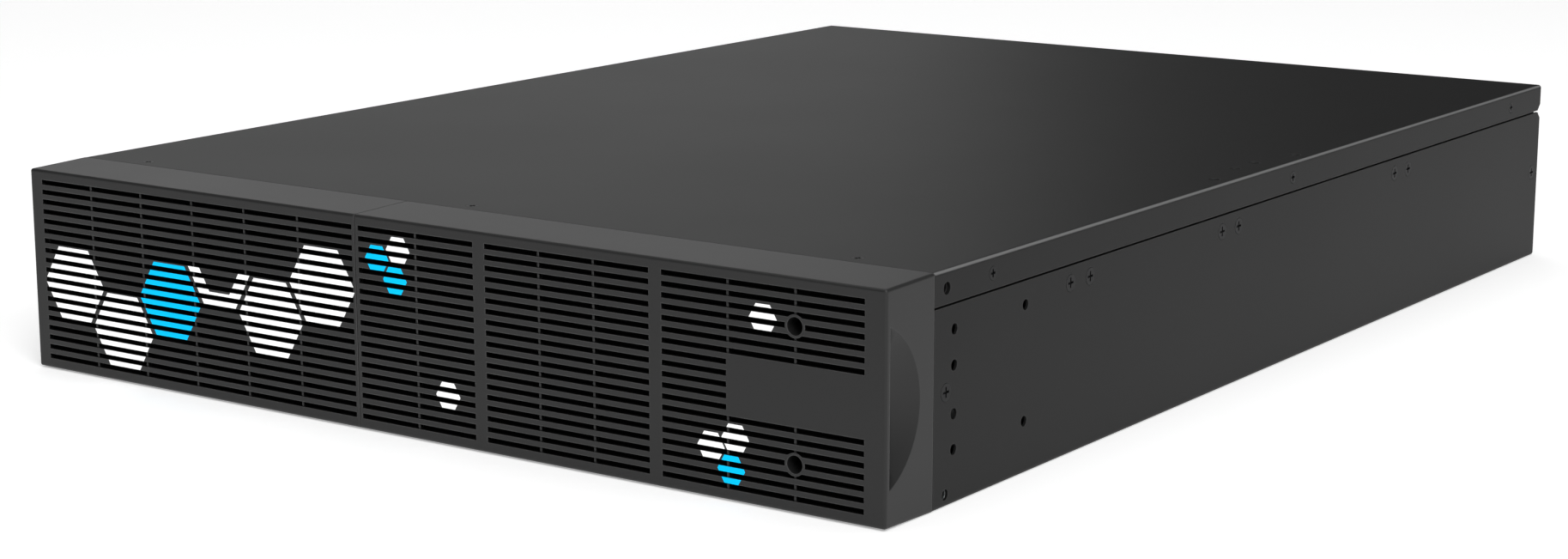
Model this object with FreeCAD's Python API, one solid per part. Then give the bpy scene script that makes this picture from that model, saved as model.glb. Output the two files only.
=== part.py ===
# A two-unit rack uninterruptible power supply, as an assembly of separate pieces.
#
# A folded steel case holds a battery tray on the right and the power electronics on the left.
# Two moulded grille bezels close the front, and both pull straight off. The tray of six lead-acid
# blocks then slides out on its rails and unplugs from a blind-mate connector at the back of its bay.
# Two fans and every cable connection are on the recessed rear panel.
#
# Frame: X to the right, Y to the rear, Z up. The origin is on the floor, at the centre of the
# footprint. Everything is in millimetres.

import FreeCAD, Part

import math
import os

from FreeCAD import Placement, Rotation, Vector

# ---------------------------------------------------------------- overall sizes
width = 438.0  # across the case, which fits between the posts of a 19 inch rack
height = 88.0  # two rack units
depth = 610.0  # from the bezel's face to the rear edge of the case
bezel_depth = 31.0  # how far the bezels stand out in front of the case
battery_side = 249.9  # width of the right bezel, which covers the battery bay
bezel_seam = 0.5  # gap between the two bezels

half = width / 2
front = -depth / 2
back = depth / 2
case_front = front + bezel_depth
seam_x = half - battery_side
mid_z = height / 2

# ---------------------------------------------------------------- case
sheet = 1.2  # steel sheet of every folded part
bend = 1.5  # outer radius of a fold
cover_flange = 12.7  # height of the cover's sides
cover_gap = 0.9  # open line between the cover's sides and the base's walls
slip = 0.3  # gap between sheets that slide past each other
fit_gap = 0.1  # gap between sheets that are screwed together
rear_recess = 15.0  # the rear panel's face to the rear edge of the case
fold = 12.0  # width of the folded edges of the plates
flange_corner = 2.2  # clipped rear corners of the cover's sides

inner = half - sheet
lip_out = inner - slip
lip_in = lip_out - sheet
wall_top = height - cover_flange - cover_gap
roof = height - sheet  # underside of the cover
panel_back = back - rear_recess
panel_front = panel_back - sheet

# ---------------------------------------------------------------- fasteners
m4 = 1.95  # radius of an M4 shank
m4_hole = 2.1
m4_head = 3.4
m3 = 1.45
m3_hole = 1.6
m3_head = 2.6
head_deep = 1.1  # depth of a flat head
head_gap = 0.2  # ring of clearance round a flat head
recess_wide = 0.9  # arms of the cross recess
recess_deep = 0.8

ear_row = case_front + 13.5  # first column of rack-ear holes
ear_pitch = 50.1  # to the second column
ear_mid = 42.9  # height of the middle of the ear pattern
ear_inner = 9.05  # half the spacing of the inner pair of ear holes
ear_outer = 22.4  # half the spacing of the outer pair
end_row = case_front + 8.1  # the column of fasteners next to the bezel
end_reach = 38.25  # from the middle of that column to its end holes
side_pair_y = (-169.0, -42.2, 132.6)  # middle of each pair of brace screws
side_pair_half = 7.6
side_pair_z = 67.8
cover_screw_y = (-234.2, 16.4, 265.5)
cover_screw_drop = 6.7
top_screw_x = (-186.5, -2.5, 181.5)
top_screw_y = case_front + 6.9
bracket_y = -4.1  # middle of the four bracket holes at the right of the cover
bracket_inner = (205.8, 9.05)  # X, and half the spacing in Y
bracket_outer = (211.0, 38.5)
bracket_bevel = 0.5
brace_half = 15.0
brace_deep = 4.8
brace_leg = 6.0  # below its screws
rear_screw_y = panel_back + 7.5

# ---------------------------------------------------------------- bezels
face = 2.4  # thickness of the grille face
skin = 2.2  # top, bottom and outer walls
seam_skin = 1.0  # the walls that meet at the seam
draft_z = 0.75  # the face is this much lower and shorter than the case
draft_x = 0.25
bezel_round = 1.1
bezel_gap = 0.4  # shadow line between bezel and case
slot_high = 2.1
slot_pitch = 4.225
slot_margin = 4.9  # least solid height above and below the slots
divider_wide = 0.9
divider_back = 0.4  # the upright dividers sit this far behind the ribs
left_margin = 7.3
right_margin = 9.3
seam_margin = 1.35
bar_wide = 5.8
bar_one = 63.8  # seam to the middle of the first solid bar
bar_two = 101.5  # outer end to the middle of the second
left_columns = 6
badge_rows = 2  # slots left out above and below the middle, for the badge
tunnel_row = 6  # slot row of the two screw tunnels
tunnel_out = 4.35
tunnel_in = 3.4
tunnel_seat = 3.0  # thickness of the seat at the back of a tunnel
collar_out = 3.4  # tapped collars drawn out of the tray's face, for the bezel's screws
collar_long = 3.0
tab_wide = 10.0
tab_thick = 1.4
tab_root = 7.0  # length of a tab inside the bezel
tab_reach = 5.0  # how far a tab goes into the case
tab_web = 6.0  # width of the web that joins a tab to the bezel's wall
tab_inset = 34.0
low_tab_inset = 6.4  # of the right bezel's single lower tab, beside the tray's opening
tab_slot_gap = 0.25
filter_thick = 6.0
grip_radius = 32.8  # rim of the finger scoop
grip_reach = 22.0  # how far back the rim goes
grip_deep = 9.5
grip_wall = 1.8
grip_back = 1.0  # closes the backs of the slot ends that lie in front of a scoop

# ---------------------------------------------------------------- battery tray
cell_long = 151.0  # along Y
cell_high = 65.0  # along Z, because the blocks lie on their side
cell_case = 78.0  # along X, without the lid
cell_lid = 16.0
cell_gap = 2.0
aisle = 18.0  # space between the two columns for the terminals
blade_long = 6.5  # flat terminals
blade_wide = 6.3
blade_thick = 0.8
blade_inset = 18.0  # from the end of a block
blade_drop = 15.0  # below its upper side
well_wide = 14.0  # the pocket round a terminal
well_deep = 4.0
lead_radius = 2.2
lead_bend = 8.0
lead_drop = 23.1  # from the main board's rear edge to where the socket's leads turn down
cell_rows = 3
tray_lip = 8.0
lid_head = 1.1  # height of the lid's low screw heads
opening_gap = 1.8
face_overlap = 9.0
rail_high = 14.0
rail_foot = 10.0
plug_size = (40.0, 16.0, 22.0)
plug_z = 34.0
plug_gap = 0.5
plug_wall = 1.5
socket_deep = 12.0
socket_ear = 8.0
pin_pitch = 10.0
pin_radius = 2.4
pin_long = 12.0
pin_tail = 3.0
pin_clear = 0.3
bracket_side = 15.0
handle_wide = 92.0
handle_out = 18.0
handle_thick = 6.0
handle_high = 14.0

bay_left = seam_x + 6.0  # the divider's left face
bay_mid = (bay_left + sheet + inner) / 2
tray_bottom = sheet + slip
tray_inner = 2 * (cell_case + cell_lid) + aisle
tray_half = tray_inner / 2 + sheet
tray_floor = tray_bottom + sheet
tray_length = cell_rows * cell_long + (cell_rows + 1) * cell_gap
tray_back = case_front + tray_length + sheet
tray_top = tray_floor + cell_high + slip + sheet  # top of the turned-in lips
left_end = seam_x - bezel_seam / 2
right_start = seam_x + bezel_seam / 2
bezel_back = case_front - bezel_gap
tunnel_back = case_front - sheet - collar_long - slip

# ---------------------------------------------------------------- electronics
board_thick = 1.6
standoff_high = 8.0
standoff_radius = 3.0
board_edge = 5.0
board_inset = 6.0  # of the posts from the board's edges
board_z = sheet + standoff_high
board_top = board_z + board_thick
control_long = 80.0
control_high = 52.0
sink_inset = 34.0  # board's edge to the face of a heat sink
sink_base = 5.0
sink_high = 56.0
sink_foot = 4.0  # the lowest fin is this far above the board
fin_thick = 2.0
fin_long = 24.0
fin_count = 7
sink_front = 180.0  # board's front edge to the heat sinks
sink_rear = 90.0
chip_size = (5.0, 16.0, 21.0)
chip_lift = 12.0
chip_step = 34.0
leg_pitch = 5.45
can_radius = 15.0
can_high = 46.0
can_gap = 4.0
can_rows = 4
choke_ring = 17.0
choke_thick = 9.0
choke_step = 56.0
choke_count = 3
relay_size = (16.0, 29.0, 25.0)
relay_step = 36.0
relay_count = 4
core_size = (40.0, 44.0, 36.0)
core_limb = 8.0
wire_radius = 1.4
wire_bend = 4.0

# ---------------------------------------------------------------- fans and rear panel
fan_size = 80.0
fan_deep = 25.0
fan_wall = 2.0
fan_between = 4.0
fan_edge = 6.0
hub_radius = 17.5
stator_deep = 4.0
strut_wide = 3.0
shaft_radius = 1.5
shaft_clear = 0.05
blade_count = 7
blade_clear = 1.0
guard_wire = 1.0
guard_rings = 4
guard_eye = 3.2
fan_bore = fan_size / 2 - fan_wall
fan_hole = fan_size * 71.5 / 80 / 2  # half the spacing of the corner holes
panel_fit = 0.2  # clearance round what is set into the panel

pieces = {}


# ---------------------------------------------------------------- helpers
def box(x0, x1, y0, y1, z0, z1):
    """A block between two corners."""
    return Part.makeBox(x1 - x0, y1 - y0, z1 - z0, Vector(x0, y0, z0))


def block(x, z, wide, high, y0, y1):
    """A block centred at x and z, from y0 to y1."""
    return box(x - wide / 2, x + wide / 2, y0, y1, z - high / 2, z + high / 2)


def rod(radius, start, way, length):
    """A round bar from a point, along a direction."""
    return Part.makeCylinder(radius, length, Vector(*start), Vector(*way))


def prism(points, y0, y1):
    """An outline in X and Z, drawn out along Y."""
    wire = Part.makePolygon([Vector(x, y0, z) for x, z in points + points[:1]])
    return Part.Face(wire).extrude(Vector(0, y1 - y0, 0))


def turned(shape, spot, way):
    """A shape made round +Z at the origin, moved to a spot with +Z along a direction."""
    copy = shape.copy()
    copy.Placement = Placement(Vector(*spot), Rotation(Vector(0, 0, 1), Vector(*way)))
    return copy


def joined(shapes):
    """Overlapping shapes as one solid."""
    return shapes[0].multiFuse(shapes[1:]).removeSplitter()


def drilled(shape, tools):
    """A shape with every tool taken out of it."""
    return shape.cut(Part.makeCompound(tools))


def edges_at(shape, test):
    """The edges whose middle passes a test."""
    return [e for e in shape.Edges if test(e.CenterOfMass)]


def near(a, b):
    return abs(a - b) < 0.01


def keep(name, *shapes):
    """Adds a node, made of one or more separate solids."""
    pieces[name] = Part.makeCompound([s for shape in shapes for s in shape.Solids])


# ---------------------------------------------------------------- screws
def flat_screw(spot, way, head, shank, length):
    """A countersunk screw whose head is flush at the spot. The way points out of the material."""
    body = joined(
        [
            Part.makeCone(shank, head, head_deep, Vector(0, 0, -head_deep)),
            rod(shank, (0, 0, -length), (0, 0, 1), length - head_deep / 2),
        ]
    )
    arm = head * 0.6
    half_arm = recess_wide / 2
    cross = [
        box(-arm, arm, -half_arm, half_arm, -recess_deep, 1),
        box(-half_arm, half_arm, -arm, arm, -recess_deep, 1),
    ]
    return turned(drilled(body, cross), spot, way)


def sink(spot, way, head, shank_hole, length):
    """The hole for a countersunk screw."""
    rim = head + head_gap
    lead = 0.5
    tool = joined(
        [
            Part.makeCone(shank_hole, rim, head_deep + 0.1, Vector(0, 0, -head_deep - 0.1)),
            rod(rim, (0, 0, 0), (0, 0, 1), lead),
            rod(shank_hole, (0, 0, -length), (0, 0, 1), length - head_deep / 2),
        ]
    )
    return turned(tool, spot, way)


def pan_screw(spot, way, head, head_high, shank, length):
    """A round-headed screw whose head stands on the surface at the spot."""
    dome = rod(head, (0, 0, 0), (0, 0, 1), head_high)
    dome = dome.makeFillet(head_high * 0.6, edges_at(dome, lambda c: near(c.z, head_high)))
    body = joined([dome, rod(shank, (0, 0, -length), (0, 0, 1), length + head_high / 2)])
    arm = head * 0.55
    half_arm = recess_wide / 2
    cross = [
        box(-arm, arm, -half_arm, half_arm, head_high - recess_deep, head_high + 1),
        box(-half_arm, half_arm, -arm, arm, head_high - recess_deep, head_high + 1),
    ]
    return turned(drilled(body, cross), spot, way)


def side_screw_spots():
    """The flush M4 screws in each side wall, as (y, z)."""
    spots = [(end_row, ear_mid), (rear_screw_y, mid_z)]
    for y in side_pair_y:
        spots += [(y - side_pair_half, side_pair_z), (y + side_pair_half, side_pair_z)]
    return spots


def ear_hole_spots():
    """The tapped holes in each side wall for rack ears, as (y, z)."""
    spots = [(ear_row, ear_mid + s * ear_inner) for s in (-1, 1)]
    spots += [(ear_row + c * ear_pitch, ear_mid + s * ear_outer) for c in (0, 1) for s in (-1, 1)]
    return spots + [(end_row, ear_mid - end_reach)]


# ---------------------------------------------------------------- case
def corner_clip(x, z):
    """A small diamond that clips a rear corner of a side wall."""
    reach = flange_corner
    clip = box(-2 * sheet, 2 * sheet, -reach, reach, -reach, reach)
    clip.rotate(Vector(0, 0, 0), Vector(1, 0, 0), 45)
    clip.translate(Vector(x, back, z))
    return clip


def base_chassis():
    """Floor and side walls in one fold, with stepped-in lips that the cover's sides go over."""
    right = [
        (half, 0),
        (half, wall_top),
        (lip_out, wall_top),
        (lip_out, roof - slip),
        (lip_in, roof - slip),
        (lip_in, wall_top - sheet),
        (inner, wall_top - sheet),
        (inner, sheet),
    ]
    left = [(-x, z) for x, z in reversed(right)]
    body = prism(right + left, case_front, back)
    corner = edges_at(body, lambda c: near(c.z, 0) and near(abs(c.x), half))
    body = body.makeFillet(bend, corner)
    tools = []
    for s in (-1, 1):
        lip_box = sorted((s * (lip_in - 1), s * inner))
        tools.append(box(*lip_box, panel_front - slip, back + 1, wall_top - sheet, height))
        tools.append(corner_clip(s * half, wall_top))
        for y, z in side_screw_spots():
            tools.append(sink((s * half, y, z), (s, 0, 0), m4_head, m4_hole, 4))
        for y, z in ear_hole_spots():
            tools.append(rod(m4_hole, (s * (half + 1), y, z), (-s, 0, 0), sheet + 2))
        end_z = ear_mid + end_reach
        tools.append(rod(m4_hole, (s * half, end_row, end_z), (-s, 0, 0), 4))
        for y in cover_screw_y:
            tools.append(rod(m3_hole, (s * half, y, height - cover_screw_drop), (-s, 0, 0), 4))
    keep("base_chassis", drilled(body, tools))


def top_cover():
    """The lid: one sheet with two short sides."""
    flange_low = height - cover_flange
    outline = [
        (-half, flange_low),
        (-half, height),
        (half, height),
        (half, flange_low),
        (inner, flange_low),
        (inner, roof),
        (-inner, roof),
        (-inner, flange_low),
    ]
    body = prism(outline, case_front, back)
    corner = edges_at(body, lambda c: near(c.z, height) and near(abs(c.x), half))
    body = body.makeFillet(bend, corner)
    tools = [corner_clip(s * half, flange_low) for s in (-1, 1)]
    for s in (-1, 1):
        for y in cover_screw_y:
            spot = (s * half, y, height - cover_screw_drop)
            tools.append(sink(spot, (s, 0, 0), m3_head, m3_hole, 3))
        end_z = ear_mid + end_reach
        tools.append(rod(m4_hole + 0.3, (s * (half + 1), end_row, end_z), (-s, 0, 0), 3))
    for x in top_screw_x:
        tools.append(sink((x, top_screw_y, height), (0, 0, 1), m3_head, m3_hole, 3))
    for x, reach in (bracket_inner, bracket_outer):
        for s in (-1, 1):
            spot = Vector(x, bracket_y + s * reach, height - bracket_bevel)
            bevel = Part.makeCone(m4_hole, m4_hole + 2 * bracket_bevel, 2 * bracket_bevel, spot)
            tools += [bevel, rod(m4_hole, (spot.x, spot.y, height), (0, 0, -1), sheet + 1)]
    keep("top_cover", drilled(body, tools))


def tab_spots(side):
    """The middle of each locating tab of a bezel, as (x, +1 at the top or -1 at the bottom)."""
    if side < 0:
        return [(x, s) for x in (-half + tab_inset, left_end - tab_inset) for s in (-1, 1)]
    upper = [(right_start + tab_inset, 1), (half - tab_inset, 1)]
    return upper + [(right_start + low_tab_inset, -1)]


def tab_z(s, gap=0.0):
    """Lowest and highest point of a locating tab, or of its slot."""
    reach = mid_z - draft_z - skin - 0.2
    low = mid_z + s * reach - (tab_thick if s > 0 else 0)
    return low - gap, low + tab_thick + gap


def front_plate():
    """The steel front under the bezels: air slots on the left, the tray's opening on the right."""
    low = sheet + fit_gap
    high = roof - fit_gap
    reach = inner - fit_gap
    plate_back = case_front + sheet
    body = [box(-lip_in + fit_gap, lip_in - fit_gap, case_front, plate_back, low, high)]
    wall_high = wall_top - sheet - fit_gap
    for s in (-1, 1):
        leg = sorted((s * reach, s * (reach - sheet)))
        body.append(box(*leg, case_front, case_front + fold, low, wall_high))
        web = sorted((s * reach, s * (lip_in - sheet)))
        body.append(box(*web, case_front, plate_back, low, wall_high))
    body.append(box(-lip_in + fit_gap, lip_in - fit_gap, case_front, case_front + fold,
                    high - sheet, high))
    tools = []
    vent_pitch = 8.0
    vent_wide = 5.0
    vent_high = (height - 2 * 14.0 - 2 * 4.0) / 3
    vent_left = -half + 14
    count = int((bay_left - 8 - vent_left) / vent_pitch)
    for row in range(3):
        z = 14.0 + row * (vent_high + 4.0)
        for i in range(count):
            x = vent_left + i * vent_pitch
            tools.append(box(x, x + vent_wide, case_front - 1, plate_back + 1, z, z + vent_high))
    gap = opening_gap
    tools.append(
        box(
            bay_mid - tray_half - gap,
            bay_mid + tray_half + gap,
            case_front - 1,
            plate_back + 1,
            tray_bottom,
            tray_top + sheet + gap,
        )
    )
    for side in (-1, 1):
        for x, s in tab_spots(side):
            z0, z1 = tab_z(s, tab_slot_gap)
            reach_x = tab_wide / 2 + tab_slot_gap
            tools.append(box(x - reach_x, x + reach_x, case_front - 1, plate_back + 1, z0, z1))
    for x, z in thumb_spots():
        tools.append(rod(m4 + fit_gap, (x, case_front - 1, z), (0, 1, 0), sheet + 2))
    for s in (-1, 1):
        for z in (ear_mid, ear_mid - end_reach):
            tools.append(rod(m4_hole, (s * (half + 1), end_row, z), (-s, 0, 0), 6))
    for x in top_screw_x:
        tools.append(rod(m3_hole, (x, top_screw_y, height), (0, 0, -1), 4))
    keep("front_plate", drilled(joined(body), tools))


def bay_divider():
    """The wall between the battery bay and the electronics, with a foot along the floor."""
    wall_back = tray_back + plug_size[1] + socket_deep
    start = case_front + fold + 1
    top = roof - brace_deep - 2 * slip
    wall = box(bay_left, bay_left + sheet, start, wall_back, sheet, top)
    foot = box(bay_left - fold, bay_left + sheet, start, wall_back, sheet, 2 * sheet)
    keep("bay_divider", joined([wall, foot]))


def cross_braces():
    """Three straps across the case under the cover, each with two screws in each wall."""
    leg_low = side_pair_z - brace_leg
    top = roof - slip
    reach = lip_in - fit_gap
    braces = []
    for y in side_pair_y:
        body = [box(-reach, reach, y - brace_half, y + brace_half, top - sheet, top)]
        tools = []
        for s in (-1, 1):
            leg = sorted((s * reach, s * (reach - sheet)))
            body.append(box(*leg, y - brace_half, y + brace_half, leg_low, top))
            pad = sorted((s * (inner - fit_gap), s * (reach - sheet)))
            pad_top = wall_top - sheet - fit_gap
            body.append(box(*pad, y - brace_half, y + brace_half, leg_low, pad_top))
            for w in (-1, 1):
                spot = (s * half, y + w * side_pair_half, side_pair_z)
                tools.append(rod(m4 + fit_gap, spot, (-s, 0, 0), 8))
            for cover_y in cover_screw_y:
                spot = (s * half, cover_y, height - cover_screw_drop)
                tools.append(rod(m3_hole, spot, (-s, 0, 0), 8))
        for w in (-1, 1):
            rib = y + w * brace_half
            rib_box = sorted((rib, rib - w * sheet))
            body.append(box(-reach, reach, *rib_box, top - brace_deep, top))
        braces.append(drilled(joined(body), tools))
    keep("cross_braces", *braces)


def case_screws():
    """The visible flush screws: M4 in the walls, M3 in the cover."""
    walls = []
    covers = []
    for s in (-1, 1):
        for y, z in side_screw_spots():
            walls.append(flat_screw((s * half, y, z), (s, 0, 0), m4_head, m4, 6))
        for y in cover_screw_y:
            spot = (s * half, y, height - cover_screw_drop)
            covers.append(flat_screw(spot, (s, 0, 0), m3_head, m3, 4.5))
    for x in top_screw_x:
        covers.append(flat_screw((x, top_screw_y, height), (0, 0, 1), m3_head, m3, 4.5))
    keep("side_screws", *walls)
    keep("cover_screws", *covers)


# ---------------------------------------------------------------- bezels
def slot_rows():
    """Height of each slot's middle, lowest first."""
    most = int((mid_z - slot_margin - slot_high / 2) / slot_pitch)
    return [(k, mid_z + k * slot_pitch) for k in range(-most, most + 1)]


def tunnel_x():
    """The screw tunnels are on the second divider of the outer grille group."""
    start, end = outer_group()
    return start + (end - start) * 2 / 3


def outer_group():
    return half - bar_two + bar_wide / 2, half - right_margin


def tunnel_spots():
    return [(tunnel_x(), mid_z + s * tunnel_row * slot_pitch) for s in (-1, 1)]


def bezel_block(x0, x1, wall_left, wall_right, inset, y0, y1):
    """A tapered block: the bezel's outside, or its cavity when inset."""
    share = (y0 - front) / bezel_depth
    z_front = draft_z * (1 - share)
    x_front = draft_x * (1 - share)
    left_taper = x_front if near(x0, -half) else 0.0
    right_taper = x_front if near(x1, half) else 0.0
    return Part.makeWedge(
        x0 + wall_left + left_taper,
        y0,
        inset + z_front,
        inset,
        x0 + wall_left,
        x1 - wall_right - right_taper,
        y1,
        height - inset - z_front,
        height - inset,
        x1 - wall_right,
    )


def grille_slots(x0, x1, rows):
    """One long slot per row, right through the face."""
    z_reach = slot_high / 2
    return [box(x0, x1, front - 1, front + face + 0.001, z - z_reach, z + z_reach) for _, z in rows]


def grille_dividers(x0, x1, columns, rows):
    """The thin uprights that hold the ribs, set a little behind them."""
    low = rows[0][1] - slot_high
    high = rows[-1][1] + slot_high
    step = (x1 - x0) / columns
    bars = []
    for i in range(1, columns):
        x = x0 + i * step
        reach = divider_wide / 2
        bars.append(box(x - reach, x + reach, front + divider_back, front + face, low, high))
    return bars


def grip_ball(side, extra, start=front + face):
    """The ball that hollows out a finger scoop, from a depth behind the grille face."""
    ball_radius = (grip_radius**2 + grip_deep**2) / (2 * grip_deep)
    y = front + grip_reach - grip_radius
    x = side * (half + ball_radius - grip_deep)
    ball = Part.makeSphere(ball_radius + extra, Vector(x, y, mid_z))
    room = sorted((side * (half - 30), side * (half + 5)))
    return ball.common(box(*room, start, case_front, 0, height))


def bezel_walls(side):
    """Thickness of a bezel's left and right walls."""
    return (skin, seam_skin) if side < 0 else (seam_skin, skin)


def bezel(x0, x1, side, groups):
    """One moulded grille bezel, as a thin open-backed shell."""
    wall_left, wall_right = bezel_walls(side)
    body = bezel_block(x0, x1, 0, 0, 0, front, bezel_back)
    outer_x = side * half
    rounded = edges_at(
        body,
        lambda c: (near(c.y, front) and not near(c.x, x0 if side > 0 else x1))
        or (abs(c.x - outer_x) < 1 and min(c.z, height - c.z) < 1),
    )
    body = body.makeFillet(bezel_round, rounded)
    body = body.cut(bezel_block(x0, x1, wall_left, wall_right, skin, front + face, bezel_back + 1))
    rows = slot_rows()
    slots = []
    added = []
    for g0, g1, columns, badge in groups:
        if badge:
            first = g0 + (g1 - g0) / columns - divider_wide / 2
            plain = [r for r in rows if abs(r[0]) > badge_rows]
            short = [r for r in rows if abs(r[0]) <= badge_rows]
            slots += grille_slots(g0, g1, plain) + grille_slots(g0, first, short)
            added += grille_dividers(g0, g1, columns, [r for r in plain if r[0] < 0])
            added += grille_dividers(g0, g1, columns, [r for r in plain if r[0] > 0])
        else:
            slots += grille_slots(g0, g1, rows)
            added += grille_dividers(g0, g1, columns, rows)
    body = drilled(body, slots)
    room = bezel_block(x0, x1, wall_left / 2, wall_right / 2, skin, front + face, bezel_back)
    added.append(grip_ball(side, grip_wall).common(room))
    inner_face = front + face - grip_back
    ends = bezel_block(x0, x1, wall_left / 2, wall_right / 2, skin, inner_face, front + face)
    added.append(grip_ball(side, grip_wall, inner_face).common(ends))
    for x, s in tab_spots(side):
        z0, z1 = tab_z(s)
        root = bezel_back - tab_root
        tip = case_front + tab_reach
        added.append(box(x - tab_wide / 2, x + tab_wide / 2, root, tip, z0, z1))
        web = sorted((z0 if s > 0 else z1, mid_z + s * (mid_z - skin / 2)))
        added.append(box(x - tab_web / 2, x + tab_web / 2, root, bezel_back - 2, *web))
    tools = [grip_ball(side, 0)]
    if side > 0:
        for x, z in tunnel_spots():
            added.append(rod(tunnel_out, (x, front, z), (0, 1, 0), tunnel_back - front))
            tools.append(rod(tunnel_in, (x, front - 1, z), (0, 1, 0),
                             tunnel_back - tunnel_seat - front + 1))
            tools.append(rod(m4_hole, (x, front, z), (0, 1, 0), bezel_depth))
    return drilled(body.multiFuse(added), tools).removeSplitter()


def dust_filter(x0, x1, side):
    """The foam pad that lies against the back of a grille."""
    wall_left, wall_right = bezel_walls(side)
    y0 = front + face
    room = bezel_block(x0, x1, wall_left + slip, wall_right + slip, skin + slip, y0, bezel_back)
    pad = room.common(box(x0, x1, y0, y0 + filter_thick, 0, height))
    tools = [grip_ball(side, grip_wall + slip)]
    if side > 0:
        for x, z in tunnel_spots():
            tools.append(rod(tunnel_out + slip, (x, front, z), (0, 1, 0), bezel_depth))
    return drilled(pad, tools)


def bezels():
    """Both bezels with their filters, and the right one's two captive screws."""
    left_group = (-half + left_margin, left_end - seam_margin, left_columns, False)
    keep("left_bezel", bezel(-half, left_end, -1, [left_group]))
    first = (right_start + seam_margin, seam_x + bar_one - bar_wide / 2, 2, False)
    second = (seam_x + bar_one + bar_wide / 2, half - bar_two - bar_wide / 2, 3, False)
    third = (*outer_group(), 3, True)
    keep("right_bezel", bezel(right_start, half, 1, [first, second, third]))
    keep("left_filter", dust_filter(-half, left_end, -1))
    keep("right_filter", dust_filter(right_start, half, 1))
    seat = tunnel_back - tunnel_seat
    head_high = 2.8
    screws = []
    for x, z in tunnel_spots():
        screws.append(pan_screw((x, seat, z), (0, -1, 0), m4_head - 0.4, head_high, m4,
                                case_front - seat))
    keep("bezel_screws", *screws)


# ---------------------------------------------------------------- battery tray
def thumb_spots():
    """The two thumbscrews that hold the tray's face to the front plate."""
    reach = tray_half + opening_gap + face_overlap / 2
    return [(bay_mid - reach, mid_z), (bay_mid + reach, mid_z)]


def battery_tray():
    """The sheet tray with its face plate, which covers the opening of the bay."""
    x0 = bay_mid - tray_half
    x1 = bay_mid + tray_half
    body = [
        box(x0, x1, case_front, tray_back, tray_bottom, tray_floor),
        box(x0, x1, tray_back - sheet, tray_back, tray_bottom, tray_top),
    ]
    for s, edge in ((1, x0), (-1, x1)):
        wall = sorted((edge, edge + s * sheet))
        body.append(box(*wall, case_front, tray_back, tray_bottom, tray_top))
        lip = sorted((edge, edge + s * tray_lip))
        body.append(box(*lip, case_front, tray_back, tray_top - sheet, tray_top))
    reach = tray_half + opening_gap + face_overlap
    face_top = tray_top + sheet + opening_gap + face_overlap / 2
    face_y = case_front - sheet
    face_low = tray_floor + slip
    body.append(box(bay_mid - reach, bay_mid + reach, face_y, case_front, face_low, face_top))
    for x, z in tunnel_spots():
        body.append(rod(collar_out, (x, face_y - collar_long, z), (0, 1, 0), collar_long + sheet / 2))
    tools = [rod(m4 + fit_gap, (x, case_front - 3, z), (0, 1, 0), 6) for x, z in thumb_spots()]
    for x in plug_pin_x():
        tools.append(rod(pin_radius + 1, (x, tray_back - 3, plug_z), (0, 1, 0), 6))
    for x in handle_feet():
        tools.append(rod(m4 + fit_gap, (x, case_front - 3, mid_z), (0, 1, 0), 6))
    for x, z in tunnel_spots():
        tools.append(rod(m4 + fit_gap, (x, case_front - 6, z), (0, 1, 0), 8))
    for x, y in lid_screw_spots():
        tools.append(rod(m3 + fit_gap, (x, y, tray_top + 1), (0, 0, -1), sheet + 2))
    keep("battery_tray", drilled(joined(body), tools))


def lid_screw_spots():
    """The four screws of the tray's lid, in the middle of the turned-in lips."""
    reach = tray_half - tray_lip / 2
    ends = (case_front + 2 * tray_lip, tray_back - 2 * tray_lip)
    return [(bay_mid + s * reach, y) for s in (-1, 1) for y in ends]


def tray_cover():
    """The flat lid of the tray, with the four screws that hold it to the lips."""
    x0 = bay_mid - tray_half
    x1 = bay_mid + tray_half
    lid = box(x0, x1, case_front + slip, tray_back, tray_top, tray_top + sheet)
    holes = [rod(m3_hole, (x, y, tray_top - 1), (0, 0, 1), 4) for x, y in lid_screw_spots()]
    keep("tray_cover", drilled(lid, holes))
    long = 2 * sheet + 0.2
    screws = []
    for x, y in lid_screw_spots():
        spot = (x, y, tray_top + sheet)
        screws.append(pan_screw(spot, (0, 0, 1), m3_head - 0.3, lid_head, m3, long))
    keep("tray_screws", *screws)


def handle_feet():
    return [bay_mid - handle_wide / 2 + handle_thick, bay_mid + handle_wide / 2 - handle_thick]


def tray_handle():
    """A moulded bridge handle on the tray's face."""
    y1 = case_front - sheet
    y0 = y1 - handle_out
    z0 = mid_z - handle_high / 2
    z1 = mid_z + handle_high / 2
    outer = box(bay_mid - handle_wide / 2, bay_mid + handle_wide / 2, y0, y1, z0, z1)
    bow = 7.0
    outer = outer.makeFillet(bow, edges_at(outer, lambda c: near(c.y, y0) and near(c.z, mid_z)))
    inside = handle_wide / 2 - 2 * handle_thick
    hole = box(bay_mid - inside, bay_mid + inside, y0 + handle_thick, y1 + 1, z0 - 1, z1 + 1)
    hole = hole.makeFillet(4, edges_at(hole, lambda c: near(c.y, y0 + handle_thick) and near(c.z,
                                                                                             mid_z)))
    body = outer.cut(hole)
    rim = edges_at(body, lambda c: near(c.y, y0) and not near(c.z, mid_z))
    body = body.makeFillet(1.2, rim)
    pegs = [rod(m4, (x, y1 - 1, mid_z), (0, 1, 0), sheet + 1) for x in handle_feet()]
    keep("tray_handle", joined([body] + pegs))


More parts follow.
